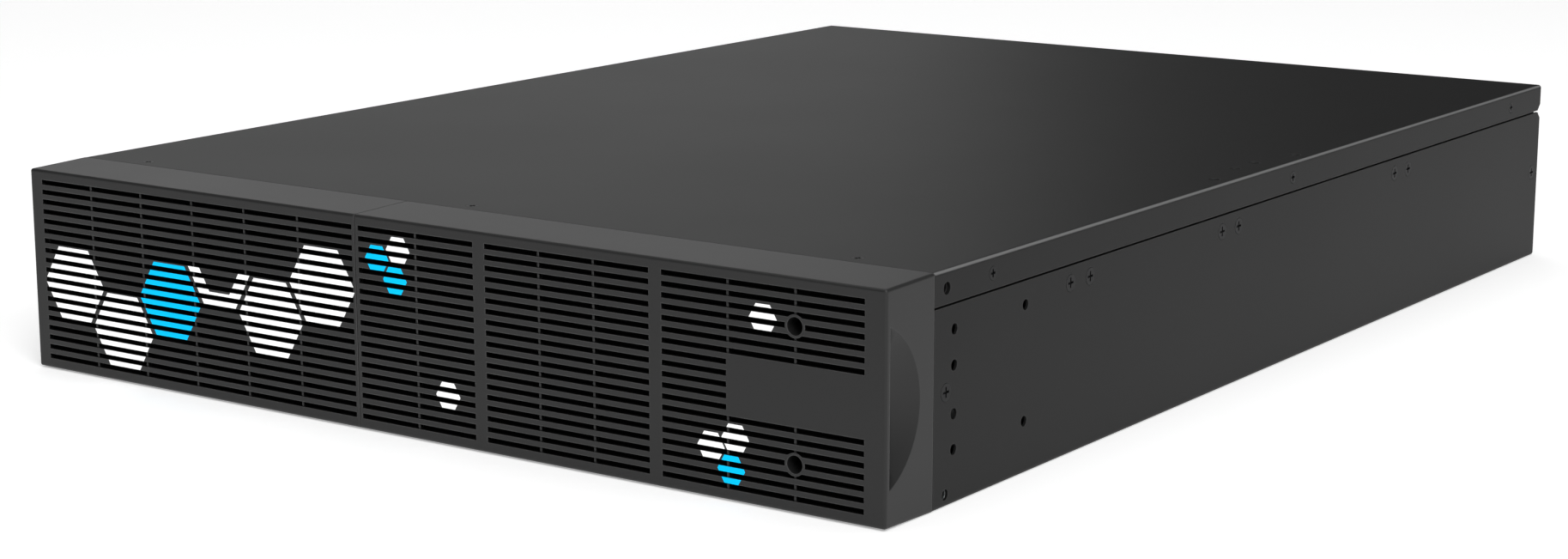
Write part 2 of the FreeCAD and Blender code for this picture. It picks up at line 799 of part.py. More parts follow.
def tray_thumbscrews():
    """Two knurled screws, turned by hand."""
    grip = 5.5
    long = 8.0
    ridges = 18
    screws = []
    for x, z in thumb_spots():
        knob = rod(grip, (0, 0, 0), (0, 0, 1), long)
        knob = knob.makeFillet(0.8, edges_at(knob, lambda c: near(c.z, long)))
        cuts = []
        for i in range(ridges):
            turn = 2 * math.pi * i / ridges
            spot = (grip * math.cos(turn), grip * math.sin(turn), 1)
            cuts.append(rod(0.45, spot, (0, 0, 1), long))
        knob = drilled(knob, cuts)
        shank = rod(m4, (0, 0, -7), (0, 0, 1), 8)
        slot = box(-grip, grip, -0.6, 0.6, long - 1.4, long + 1)
        screws.append(
            turned(joined([knob, shank]).cut(slot), (x, case_front - sheet, z), (0, -1, 0))
        )
    keep("tray_thumbscrews", *screws)


def cell_spots():
    """Each block's near corner in Y and its side of the aisle."""
    spots = []
    for row in range(cell_rows):
        spots += [(row_start(row), -1), (row_start(row), 1)]
    return spots


def batteries():
    """Six lead-acid blocks on their side, lids and terminals towards the aisle."""
    cases = []
    lids = []
    tabs = []
    z0 = tray_floor
    z1 = tray_floor + cell_high
    face_x = aisle / 2
    for y, s in cell_spots():
        lid_x = sorted((bay_mid + s * face_x, bay_mid + s * (face_x + cell_lid)))
        case_x = sorted(
            (bay_mid + s * (face_x + cell_lid), bay_mid + s * (face_x + cell_lid + cell_case))
        )
        case = box(*case_x, y, y + cell_long, z0, z1)
        cases.append(case.makeFillet(2.0, edges_at(case, lambda c: near(c.y, y) or near(c.y,
            y + cell_long))))
        lid = box(*lid_x, y, y + cell_long, z0, z1)
        seam = bay_mid + s * face_x
        lid = lid.makeFillet(1.5, edges_at(lid, lambda c: near(c.x, seam)))
        wells = []
        for tab_y, tab_at in terminal_spots(y):
            well_x = sorted((seam - s, seam + s * well_deep))
            reach = well_wide / 2
            wells.append(box(*well_x, tab_y - reach, tab_y + reach, tab_at - reach, tab_at + reach))
            blade_x = sorted((seam + s * well_deep, seam + s * (well_deep - blade_long)))
            tabs.append(blade(blade_x, tab_y, tab_at))
        lids.append(drilled(lid, wells))
    keep("battery_cases", *cases)
    keep("battery_lids", *lids)
    keep("battery_terminals", *tabs)


def blade(x_range, y, z):
    """A flat terminal, on edge."""
    wide = blade_wide / 2
    return box(*x_range, y - blade_thick / 2, y + blade_thick / 2, z - wide, z + wide)


def terminal_spots(y):
    """The two blade terminals of the block that starts at y, as (y, z)."""
    z = tray_floor + cell_high - blade_drop
    return [(y + blade_inset, z), (y + cell_long - blade_inset, z)]


def row_start(row):
    return case_front + cell_gap + row * (cell_long + cell_gap)


def wire(points, radius, bend_radius):
    """A round wire along a path of straight runs, with a bend at each corner."""
    path = [Vector(*p) for p in points]
    edges = []
    start = path[0]
    for before, corner, after in zip(path, path[1:], path[2:]):
        arrive = (corner - before).normalize()
        leave = (after - corner).normalize()
        enter = corner - arrive * bend_radius
        leaving = corner + leave * bend_radius
        centre = enter + leave * bend_radius
        middle = centre - (leave - arrive).normalize() * bend_radius
        edges.append(Part.LineSegment(start, enter).toShape())
        edges.append(Part.Arc(enter, middle, leaving).toShape())
        start = leaving
    edges.append(Part.LineSegment(start, path[-1]).toShape())
    spine = Part.Wire(edges)
    ring = Part.Wire(Part.makeCircle(radius, path[0], path[1] - path[0]))
    return spine.makePipeShell([ring], True, False)


def battery_wiring():
    """The links that put the blocks in series, and the two leads to the plug."""
    sleeve = blade_wide / 2 + 1.0
    thick = 2.0
    x_far = aisle / 2 - slip
    x_near = x_far - 6.0
    lead_x = pin_pitch / 2
    z = terminal_spots(0)[0][1]
    loose = []
    for s in (-1, 1):
        sides = sorted((bay_mid + s * x_far, bay_mid + s * x_near))
        cuts = []
        for row in range(cell_rows):
            for y, _ in terminal_spots(row_start(row)):
                cuts.append(blade((bay_mid - aisle, bay_mid + aisle), y, z))
        for row in range(cell_rows - 1):
            start = terminal_spots(row_start(row))[1][0]
            end = terminal_spots(row_start(row + 1))[0][0]
            ends = [box(*sides, y - thick, y + thick, z - sleeve, z + sleeve) for y in (start, end)]
            x = bay_mid + s * lead_x
            run = rod(lead_radius, (x, start + thick / 2, z), (0, 1, 0), end - start - thick)
            loose.append(drilled(joined(ends + [run]), cuts))
        start = terminal_spots(row_start(0))[0][0]
        end = box(*sides, start - thick, start + thick, z - sleeve, z + sleeve)
        x = bay_mid + s * lead_x
        run = wire([(x, start, z - sleeve + 1), (x, start, plug_z), (x, tray_back, plug_z)],
                   lead_radius, lead_bend)
        loose.append(drilled(joined([end, run]), cuts))
    last = terminal_spots(row_start(cell_rows - 1))[1][0]
    link = box(bay_mid - x_far, bay_mid + x_far, last - thick, last + thick, z - sleeve, z + sleeve)
    loose.append(drilled(link, [blade(side, last, z) for side in end_blades()]))
    keep("battery_wiring", *loose)


def end_blades():
    """The two terminals that face each other across the aisle."""
    reach = blade_long - well_deep
    return [
        (bay_mid - aisle / 2, bay_mid - aisle / 2 + reach),
        (bay_mid + aisle / 2 - reach, bay_mid + aisle / 2),
    ]


def plug_pin_x():
    return [bay_mid - pin_pitch / 2, bay_mid + pin_pitch / 2]


def blind_connector():
    """The tray's plug, the bay's socket with its two pins, and the bracket that holds the socket."""
    wide, long, high = plug_size
    plug = block(bay_mid, plug_z, wide, high, tray_back, tray_back + long)
    plug = plug.makeChamfer(1.0, edges_at(plug, lambda c: near(c.y, tray_back + long)))
    holes = []
    for x in plug_pin_x():
        spot = (x, tray_back + plug_wall, plug_z)
        holes.append(rod(pin_radius + pin_clear, spot, (0, 1, 0), long))
    keep("tray_plug", drilled(plug, holes))
    start = tray_back + long + plug_gap
    end = start + socket_deep
    socket = block(bay_mid, plug_z, wide, high, start, end)
    ears = block(bay_mid, plug_z, wide + 2 * socket_ear, high, end - 3, end)
    bores = [rod(pin_radius, (x, start - 1, plug_z), (0, 1, 0), 20) for x in plug_pin_x()]
    keep("bay_socket", drilled(joined([socket, ears]), bores))
    pins = []
    for x in plug_pin_x():
        pin = rod(pin_radius, (x, start - pin_long, plug_z), (0, 1, 0),
                  pin_long + socket_deep + pin_tail)
        pins.append(pin.makeFillet(1.0, edges_at(pin, lambda c: near(c.y, start - pin_long))))
    keep("socket_pins", *pins)
    reach = wide / 2 + bracket_side
    upright = box(bay_mid - reach, bay_mid + reach, end, end + sheet, sheet, plug_z + high)
    foot = box(bay_mid - reach, bay_mid + reach, end, end + fold, sheet, 2 * sheet)
    window = block(bay_mid, plug_z, wide / 2, high / 2, end - 1, end + 3)
    keep("socket_bracket", joined([upright, foot]).cut(window))


def tray_rails():
    """Two angle rails on the floor that guide the tray."""
    rails = []
    start = case_front + fold + 1
    for s in (-1, 1):
        near_x = bay_mid + s * (tray_half + slip)
        leg = sorted((near_x, near_x + s * sheet))
        foot = sorted((near_x, near_x + s * rail_foot))
        rails.append(
            joined(
                [
                    box(*leg, start, tray_back - 4, sheet, sheet + rail_high),
                    box(*foot, start, tray_back - 4, sheet, 2 * sheet),
                ]
            )
        )
    keep("tray_rails", *rails)


# ---------------------------------------------------------------- electronics
board_x0 = -inner + board_edge
board_x1 = bay_left - fold - 1
board_y0 = case_front + 24.0
board_y1 = panel_front - fan_deep - 9.0
output_x0 = bay_left + sheet + 8
output_x1 = inner - 8
output_y0 = tray_back + plug_size[1] + plug_gap + socket_deep + fold + 2
output_y1 = panel_front - 24.0
board_mid = (board_x0 + board_x1) / 2
control_x = board_x1 - 48.0
control_y = board_y1 - control_long - 5.0
control_top = board_top + control_high
ribbon_y = board_y1 - 12.0
ribbon_half = 4.5


def standoff_spots():
    """The posts under both boards."""
    spots = []
    for x in (board_x0 + board_inset, board_x1 - board_inset):
        for share in (0, 0.5, 1):
            run = board_y1 - board_y0 - 2 * board_inset
            spots.append((x, board_y0 + board_inset + share * run))
    for x in (output_x0 + board_inset, output_x1 - board_inset):
        for y in (output_y0 + board_inset, output_y1 - board_inset):
            spots.append((x, y))
    return spots


def boards():
    """The power board, the output board, the upright control board and what holds them."""
    holes = [rod(m3_hole, (x, y, board_z - 1), (0, 0, 1), 4) for x, y in standoff_spots()]
    main = box(board_x0, board_x1, board_y0, board_y1, board_z, board_top)
    output = box(output_x0, output_x1, output_y0, output_y1, board_z, board_top)
    keep("main_board", drilled(main, holes))
    keep("output_board", drilled(output, holes))
    posts = []
    screws = []
    for x, y in standoff_spots():
        post = rod(standoff_radius, (x, y, sheet), (0, 0, 1), standoff_high)
        posts.append(post.cut(rod(m3, (x, y, sheet + 2), (0, 0, 1), standoff_high)))
        screws.append(pan_screw((x, y, board_top), (0, 0, 1), m3_head, 1.8, m3, 6))
    keep("board_standoffs", *posts)
    keep("board_screws", *screws)
    x = control_x
    keep("control_board", box(x, x + board_thick, control_y, control_y + control_long, board_top,
                              control_top))


def heat_sink(x, side, y0, y1):
    """One finned extrusion, fins away from the side that the transistors are on."""
    body = [box(*sorted((x, x + side * sink_base)), y0, y1, board_top, board_top + sink_high)]
    step = (sink_high - sink_foot - fin_thick) / (fin_count - 1)
    for i in range(fin_count):
        z = board_top + sink_foot + i * step
        fin_x = sorted((x, x + side * (sink_base + fin_long)))
        body.append(box(*fin_x, y0, y1, z, z + fin_thick))
    return joined(body)


def power_transistor(x, side, y):
    """One transistor against a heat sink, on three legs."""
    thick, wide, tall = chip_size
    low = board_top + chip_lift
    body = [box(*sorted((x, x + side * thick)), y, y + wide, low, low + tall)]
    for leg in (-1, 0, 1):
        leg_y = y + wide / 2 + leg * leg_pitch
        leg_x = sorted((x + side * 2, x + side * 2.7))
        body.append(box(*leg_x, leg_y - 0.6, leg_y + 0.6, board_top, low + 0.5))
    return joined(body)


def power_stage():
    """The heat sinks with their transistors and the capacitors between them."""
    y0 = board_y0 + sink_front
    y1 = board_y1 - sink_rear
    left = board_x0 + sink_inset
    right = board_x1 - sink_inset
    keep("heat_sinks", heat_sink(left, -1, y0, y1), heat_sink(right, 1, y0, y1))
    chips = []
    for x, side in ((left, 1), (right, -1)):
        for i in range(int((y1 - y0 - chip_size[1]) / chip_step)):
            chips.append(power_transistor(x, side, y0 + chip_size[1] + i * chip_step))
    keep("power_transistors", *chips)
    cans = []
    for row in range(can_rows):
        for s in (-1, 1):
            x = board_mid + s * (can_radius + can_gap / 2)
            y = y0 + can_radius + row * (2 * can_radius + can_gap)
            can = rod(can_radius, (x, y, board_top), (0, 0, 1), can_high)
            top = board_top + can_high
            cans.append(can.makeFillet(1.5, edges_at(can, lambda c: near(c.z, top))))
    keep("bus_capacitors", *cans)


def chokes_and_relays():
    """Three ring chokes, four relays and the charger's transformer."""
    coils = []
    for i in range(choke_count):
        y = board_y1 - 2 * choke_ring - i * choke_step
        spot = Vector(board_mid - can_radius, y, board_top + choke_thick)
        coils.append(Part.makeTorus(choke_ring, choke_thick, spot))
    keep("chokes", *coils)
    wide, long, tall = relay_size
    relays = []
    for i in range(relay_count):
        x = board_x0 + 2 * board_inset + 3
        y = board_y0 + 2 * board_inset + i * relay_step
        relays.append(box(x, x + wide, y, y + long, board_top, board_top + tall))
    keep("relays", *relays)
    wide, long, tall = core_size
    x = board_mid - wide / 2
    y = board_y0 + 2 * board_inset
    core = box(x, x + wide, y, y + long, board_top, board_top + tall)
    window_long = (long - 4 * core_limb) / 2
    windows = []
    for window_y in (y + core_limb, y + long - core_limb - window_long):
        low = board_top + core_limb
        windows.append(box(x - 1, x + wide + 1, window_y, window_y + window_long, low,
                           low + tall - 2 * core_limb))
    keep("transformer_core", drilled(core, windows))
    around = window_long - fit_gap
    limb_y = y + core_limb + window_long
    low = board_top + core_limb + fit_gap
    high = board_top + tall - core_limb - fit_gap
    coil = box(x - around, x + wide + around, limb_y - around, limb_y + 2 * core_limb + around,
               low, high)
    limb = box(x - fit_gap, x + wide + fit_gap, limb_y, limb_y + 2 * core_limb, low - 1, high + 1)
    keep("transformer_coil", coil.cut(limb))


def internal_wiring():
    """Wires between the battery socket, the boards, the inlet, the outlets and the fans."""
    tail_y = tray_back + plug_size[1] + plug_gap + socket_deep + pin_tail
    wires = []
    for i, x in enumerate(plug_pin_x()):
        y = board_y1 - lead_drop + i * 3.2 * lead_radius
        down_x = board_x1 - 10 - i * 4 * lead_radius
        path = [(x, tail_y, plug_z), (x, y, plug_z), (down_x, y, plug_z), (down_x, y, board_top)]
        wires.append(wire(path, lead_radius, lead_bend))
    x, z = inlet_spot
    for dx, dz in inlet_pins:
        start = panel_front - body_deep - inlet_tail
        y = start - 2 * wire_bend + 1 - abs(dx) * 0.5
        path = [(x + dx, start, z + dz), (x + dx, y, z + dz), (x + dx, y, board_top)]
        wires.append(wire(path, wire_radius, wire_bend))
    for i in range(outlet_count[0]):
        x = outlet_x0 + i * outlet_step[0]
        z = outlet_top - outlet_step[1]
        start = panel_front - body_deep
        y = start - 2 * wire_bend
        wires.append(wire([(x, start, z), (x, y, z), (x, y, board_top)], wire_radius, wire_bend))
    for fan_x in fan_spots():
        x = fan_x - fan_hole + 2 * wire_bend
        start = panel_front - fan_deep
        z = board_top + 2 * wire_bend
        y = board_y1 - wire_bend
        wires.append(wire([(x, start, z), (x, y, z), (x, y, board_top)], wire_radius, wire_bend))
    x, z = serial_spot
    ribbon = [
        box(control_x + board_thick, x + 0.5, ribbon_y, ribbon_y + 1, z - ribbon_half, z + ribbon_half),
        box(x - 0.5, x + 0.5, ribbon_y, panel_front - serial_tail, z - ribbon_half, z + ribbon_half),
    ]
    keep("internal_wiring", joined(ribbon), *wires)


# ---------------------------------------------------------------- fans
def fan_spots():
    """The middle of each fan, from the left."""
    first = -inner + fan_edge + fan_size / 2
    return [first, first + fan_size + fan_between]


def fan_frame(x):
    """One square fan frame with the motor mount on four struts at its rear."""
    y0 = panel_front - fan_deep
    body = block(x, mid_z, fan_size, fan_size, y0, panel_front)
    body = body.makeFillet(3.0, edges_at(body, lambda c: near(c.y, (y0 + panel_front) / 2)))
    waist = block(x, mid_z, fan_size + 2, fan_size + 2, y0 + 4, panel_front - 4)
    waist = waist.cut(rod(fan_bore + fan_wall, (x, y0, mid_z), (0, 1, 0), fan_deep))
    body = body.cut(waist)
    body = body.cut(rod(fan_bore, (x, y0 - 1, mid_z), (0, 1, 0), fan_deep + 2))
    stator_y = panel_front - stator_deep
    parts = [body, rod(hub_radius, (x, stator_y, mid_z), (0, 1, 0), stator_deep)]
    for turn in (20, 110, 200, 290):
        strut = box(hub_radius - 2, fan_bore + 1, stator_y + 0.5, panel_front, -strut_wide / 2,
                    strut_wide / 2)
        strut.rotate(Vector(0, 0, 0), Vector(0, 1, 0), turn)
        strut.translate(Vector(x, 0, mid_z))
        parts.append(strut)
    shaft_long = fan_deep - 7
    parts.append(rod(shaft_radius, (x, stator_y - shaft_long + 2, mid_z), (0, 1, 0), shaft_long))
    body = joined(parts)
    holes = []
    for sx in (-1, 1):
        for sz in (-1, 1):
            holes.append(rod(m4_hole, (x + sx * fan_hole, y0 - 1, mid_z + sz * fan_hole),
                             (0, 1, 0), fan_deep + 2))
    return drilled(body, holes)


def fan_rotor(x):
    """One fan wheel: a cup on the shaft and seven cambered blades."""
    y0 = panel_front - fan_deep + 2
    y1 = panel_front - stator_deep - 1
    long = y1 - y0
    hub = rod(hub_radius, (0, y0, 0), (0, 1, 0), long)
    hub = hub.makeFillet(2.0, edges_at(hub, lambda c: near(c.y, y0)))
    chord = long * 1.25
    thick = 1.4
    camber = 3.5
    a = Vector(hub_radius - 3, -chord / 2, 0)
    b = Vector(hub_radius - 3, 0, camber)
    c = Vector(hub_radius - 3, chord / 2, 0)
    up = Vector(0, 0, thick)
    section = Part.Wire(
        [
            Part.Arc(a, b, c).toShape(),
            Part.LineSegment(c, c + up).toShape(),
            Part.Arc(c + up, b + up, a + up).toShape(),
            Part.LineSegment(a + up, a).toShape(),
        ]
    )
    blade = Part.Face(section).extrude(Vector(fan_bore - hub_radius + 4, 0, 0))
    pitch = 42
    blade.rotate(Vector(0, 0, 0), Vector(1, 0, 0), pitch)
    blade.translate(Vector(0, (y0 + y1) / 2, 0))
    room = rod(fan_bore - blade_clear, (0, y0 + 0.5, 0), (0, 1, 0), long - 1)
    blade = blade.common(room)
    parts = [hub]
    for i in range(blade_count):
        copy = blade.copy()
        copy.rotate(Vector(0, 0, 0), Vector(0, 1, 0), 360.0 * i / blade_count)
        parts.append(copy)
    body = joined(parts)
    body = body.cut(rod(shaft_radius + shaft_clear, (0, y0 + 2, 0), (0, 1, 0), long))
    body.translate(Vector(x, 0, mid_z))
    return body


def fan_guard(x):
    """One wire finger guard: rings on four bars, with an eye at each corner."""
    way = Vector(0, 1, 0)
    ring_step = fan_bore / guard_rings
    wires = []
    for i in range(1, guard_rings + 1):
        wires.append(Part.makeTorus(ring_step * i, guard_wire, Vector(), way))
    reach = math.hypot(fan_hole, fan_hole) - m4_head - fit_gap
    for turn in (45, 135, 225, 315):
        bar = rod(guard_wire, (ring_step, 1.2 * guard_wire, 0), (1, 0, 0), reach - ring_step)
        bar.rotate(Vector(), way, turn)
        wires.append(bar)
    for sx in (-1, 1):
        for sz in (-1, 1):
            spot = Vector(sx * fan_hole, 0, sz * fan_hole)
            wires.append(Part.makeTorus(guard_eye, guard_wire, spot, way))
    body = wires[0].multiFuse(wires[1:])
    body.translate(Vector(x, panel_back + guard_wire, mid_z))
    return body


def fans():
    """Both fans with their guards and screws."""
    left, right = fan_spots()
    keep("fan_frames", fan_frame(left), fan_frame(right))
    keep("fan_rotor_left", fan_rotor(left))
    keep("fan_rotor_right", fan_rotor(right))
    keep("fan_guards", fan_guard(left), fan_guard(right))


def panel_screws():
    """Identical screws for the fans, the option slot's cover and the earth point."""
    head = m4_head
    head_high = 2.2
    shank = m4 - 0.1
    screws = []
    for x in fan_spots():
        for sx in (-1, 1):
            for sz in (-1, 1):
                spot = (x + sx * fan_hole, panel_back + 2 * guard_wire, mid_z + sz * fan_hole)
                screws.append(pan_screw(spot, (0, 1, 0), head, head_high, shank, 10))
    x, z = slot_spot
    for s in (-1, 1):
        spot = (x + s * slot_cover_reach(), panel_back + sheet, z)
        screws.append(pan_screw(spot, (0, 1, 0), head, head_high, shank, 10))
    x, z = ground_spot
    screws.append(pan_screw((x, panel_back, z), (0, 1, 0), head, head_high, shank, 10))
    keep("panel_screws", *screws)


# ---------------------------------------------------------------- rear panel
fans_end = -inner + fan_edge + 2 * fan_size + fan_between
ports_x = fans_end + 36.0  # middle of the column of signal ports
outlet_x0 = ports_x + 55.5  # first column of small outlets
outlet_step = (33.0, 27.5)
outlet_top = height - 24.0
outlet_count = (4, 2)
small_flange = (31.0, 25.0)
small_outline = (25.0, 17.4)
large_flange = (38.0, 33.0)
large_outline = (31.0, 25.0)
power_x = outlet_x0 + 3 * outlet_step[0] + 41.0
inlet_spot = (power_x, height - 26.0)
large_spot = (power_x, height - 62.0)
body_deep = 20.0
inlet_pins = ((-8.0, -2.0), (8.0, -2.0), (0.0, 4.0))  # places of the three flat blades
inlet_pin = (6.3, 2.0)
inlet_tail = 5.0
flange_thick = 2.0
groove = 2.4
groove_deep = 16.0
corner_cut = 4.6

breaker_spots = [(outlet_x0 - 1.0, 13.0), (outlet_x0 + 23.0, 13.0)]
breaker_radius = 5.5
breaker_button = 4.2
ground_spot = (outlet_x0 + 60.0, 13.0)
slot_spot = (ports_x, height - 20.5)
slot_size = (60.0, 27.0)
slot_mouth = (42.0, 21.0)
serial_tail = 8.0
serial_spot = (ports_x - 13.0, height - 46.0)
usb_spot = (ports_x + 18.0, height - 46.0)
stop_spot = (ports_x - 12.0, height - 63.0)
button_spot = (ports_x + 19.0, 10.5)
button_radius = 5.0
button_travel = 1.8
light_spots = [(ports_x - 22.0 + 8.0 * i, 10.5) for i in range(4)]
light_radius = 1.5


def cut_corners(x, z, wide, high, clip, y0, y1):
    """A block whose two lower corners are cut off, the outline of a mains connector."""
    w = wide / 2
    h = high / 2
    return prism(
        [
            (x - w, z + h),
            (x + w, z + h),
            (x + w, z - h + clip),
            (x + w - clip, z - h),
            (x - w + clip, z - h),
            (x - w, z - h + clip),
        ],
        y0,
        y1,
    )


def outlet(spot, flange, outline, blade, spread):
    """A mains outlet: a flange, a body behind the panel, and a nose with three slots in a groove."""
    x, z = spot
    face_y = panel_back + flange_thick
    rim = block(x, z, *flange, panel_back, face_y)
    rim = rim.makeFillet(1.5, edges_at(rim, lambda c: near(c.y, (panel_back + face_y) / 2)))
    tub = cut_corners(x, z, outline[0] + 3, outline[1] + 3, corner_cut, panel_front - body_deep,
                      panel_back)
    body = joined([rim, tub])
    moat = cut_corners(x, z, *outline, corner_cut, face_y - groove_deep, face_y + 1)
    nose = cut_corners(
        x,
        z,
        outline[0] - 2 * groove,
        outline[1] - 2 * groove,
        corner_cut - 1,
        face_y - groove_deep - 1,
        face_y - 0.4,
    )
    body = body.cut(moat.cut(nose))
    wide, high = blade
    slots = [
        block(x - spread, z - high * 0.2, wide, high, face_y - groove_deep, face_y + 1),
        block(x + spread, z - high * 0.2, wide, high, face_y - groove_deep, face_y + 1),
        block(x, z + high * 0.55, wide, high, face_y - groove_deep, face_y + 1),
    ]
    return drilled(body, slots)


def inlet():
    """The mains inlet: a cavity with three blades in it."""
    x, z = inlet_spot
    face_y = panel_back + flange_thick
    rim = block(x, z, *large_flange, panel_back, face_y)
    rim = rim.makeFillet(1.5, edges_at(rim, lambda c: near(c.y, (panel_back + face_y) / 2)))
    tub = cut_corners(
        x, z, large_outline[0] + 3, large_outline[1] + 3, corner_cut, panel_front - body_deep, panel_back
    )
    well = cut_corners(x, z, *large_outline, corner_cut, face_y - groove_deep, face_y + 1)
    body = joined([rim, tub]).cut(well)
    blades = []
    for dx, dz in inlet_pins:
        start = panel_front - body_deep - inlet_tail
        blades.append(block(x + dx, z + dz, *inlet_pin, start, face_y - 2.5))
    keep("mains_inlet", drilled(body, blades))
    keep("inlet_blades", *blades)


def outlets():
    """Eight small outlets in two rows, and one large one."""
    banks = []
    for row in range(outlet_count[1]):
        for i in range(outlet_count[0]):
            spot = (outlet_x0 + i * outlet_step[0], outlet_top - row * outlet_step[1])
            banks.append(outlet(spot, small_flange, small_outline, (2.2, 4.6), 7.0))
    keep("small_outlets", *banks)
    keep("large_outlet", outlet(large_spot, large_flange, large_outline, (2.6, 7.4), 8.0))


def small_outlet_spots():
    columns, rows = outlet_count
    return [
        (outlet_x0 + i * outlet_step[0], outlet_top - r * outlet_step[1])
        for i in range(columns)
        for r in range(rows)
    ]


def breakers():
    """Two round circuit breakers, each with a button that springs out when it trips."""
    bodies = []
    names = ("input_breaker_button", "output_breaker_button")
    for (x, z), name in zip(breaker_spots, names):
        can = block(x, z, 13.5, 17.0, panel_front - 22, panel_front)
        bush = rod(breaker_radius, (x, panel_front - 1, z), (0, 1, 0), sheet + 6)
        nut = rod(breaker_radius + 2.5, (x, panel_back, z), (0, 1, 0), 2.5)
        nut = nut.common(hexagon(x, z, breaker_radius + 2.2, panel_back - 1, panel_back + 4))
        hole = rod(breaker_button + 0.15, (x, panel_front - 14, z), (0, 1, 0), 40)
        bodies.append(joined([can, bush, nut]).cut(hole))
        cap_y = panel_back + 6.5
        cap = rod(breaker_button, (x, panel_front - 13, z), (0, 1, 0), cap_y - panel_front + 13)
        cap = cap.makeFillet(0.8, edges_at(cap, lambda c: near(c.y, cap_y)))
        keep(name, cap)
    keep("breaker_bodies", *bodies)


def hexagon(x, z, flat, y0, y1):
    """A six-sided bar, from its distance to each flat."""
    reach = flat / math.cos(math.pi / 6)
    turns = [math.pi / 3 * i for i in range(6)]
    return prism([(x + reach * math.cos(t), z + reach * math.sin(t)) for t in turns], y0, y1)


def power_button():
    """The on button in its bezel ring, and the housing behind the panel."""
    x, z = button_spot
    ring = rod(button_radius + 2.0, (x, panel_back, z), (0, 1, 0), 1.6)
    ring = ring.makeFillet(0.6, edges_at(ring, lambda c: near(c.y, panel_back + 1.6)))
    sleeve = rod(button_radius + 1.0, (x, panel_front - 10, z), (0, 1, 0), 11.5)
    hole = rod(button_radius + 0.15, (x, panel_front - 8, z), (0, 1, 0), 40)
    keep("button_housing", joined([ring, sleeve]).cut(hole))
    top = panel_back + 3.2
    start = panel_front - 8 + button_travel + 0.3
    cap = rod(button_radius, (x, start, z), (0, 1, 0), top - start)
    cap = cap.makeFillet(0.7, edges_at(cap, lambda c: near(c.y, top)))
    keep("power_button", cap)


def signal_ports():
    """The serial, USB and emergency-stop connectors, and the four status lights."""
    x, z = serial_spot
    shell = block(x, z, 31.0, 12.5, panel_back, panel_back + 1.0)
    nose = cut_corners(x, z, 18.5, 9.5, 2.5, panel_front - serial_tail, panel_back + 6)
    pins = []
    for i in range(5):
        pins.append(rod(0.6, (x - 5.5 + 2.75 * i, panel_back, z + 1.4), (0, 1, 0), 10))
    for i in range(4):
        pins.append(rod(0.6, (x - 4.1 + 2.75 * i, panel_back, z - 1.4), (0, 1, 0), 10))
    posts = [hexagon(x + s * 12.5, z, 2.4, panel_back + 0.5, panel_back + 5) for s in (-1, 1)]
    keep("serial_port", drilled(joined([shell, nose] + posts), pins))
    x, z = usb_spot
    can = block(x, z, 12.0, 11.0, panel_front - 12, panel_back + 1)
    well = cut_corners(x, z, 8.6, 7.9, 1.5, panel_back - 8, panel_back + 2)
    tongue = block(x, z, 5.6, 3.2, panel_back - 9, panel_back)
    keep("usb_port", can.cut(well).fuse(tongue))
    x, z = stop_spot
    green = block(x, z, 12.0, 9.0, panel_front - 8, panel_back + 7)
    wires = [block(x + s * 2.6, z + 1.0, 3.4, 3.6, panel_back, panel_back + 8) for s in (-1, 1)]
    heads = [rod(1.5, (x + s * 2.6, panel_back + 3.5, z + 6), (0, 0, -1), 2.6) for s in (-1, 1)]
    keep("stop_terminal", drilled(green, wires + heads))
    lights = []
    for x, z in light_spots:
        pipe = rod(light_radius, (x, panel_front - 6, z), (0, 1, 0), sheet + 6.8)
        lights.append(pipe.makeFillet(0.5, edges_at(pipe, lambda c: c.y > panel_back + 0.7)))
    keep("status_lights", *lights)


def slot_cover():
    """The blank plate over the option-card slot."""
    x, z = slot_spot
    plate = block(x, z, *slot_size, panel_back, panel_back + sheet)
    plate = plate.makeFillet(1.5, edges_at(plate, lambda c: near(c.y, panel_back + sheet / 2)))
    wide, high = slot_mouth
    lip = block(x, z, wide, high, panel_front - 3, panel_back)
    holes = [rod(m4_hole, (x + s * slot_cover_reach(), panel_back - 1, z), (0, 1, 0),
                 4) for s in (-1, 1)]
    keep("slot_cover", drilled(joined([plate, lip]), holes))


def slot_cover_reach():
    return slot_size[0] / 2 - 4.5


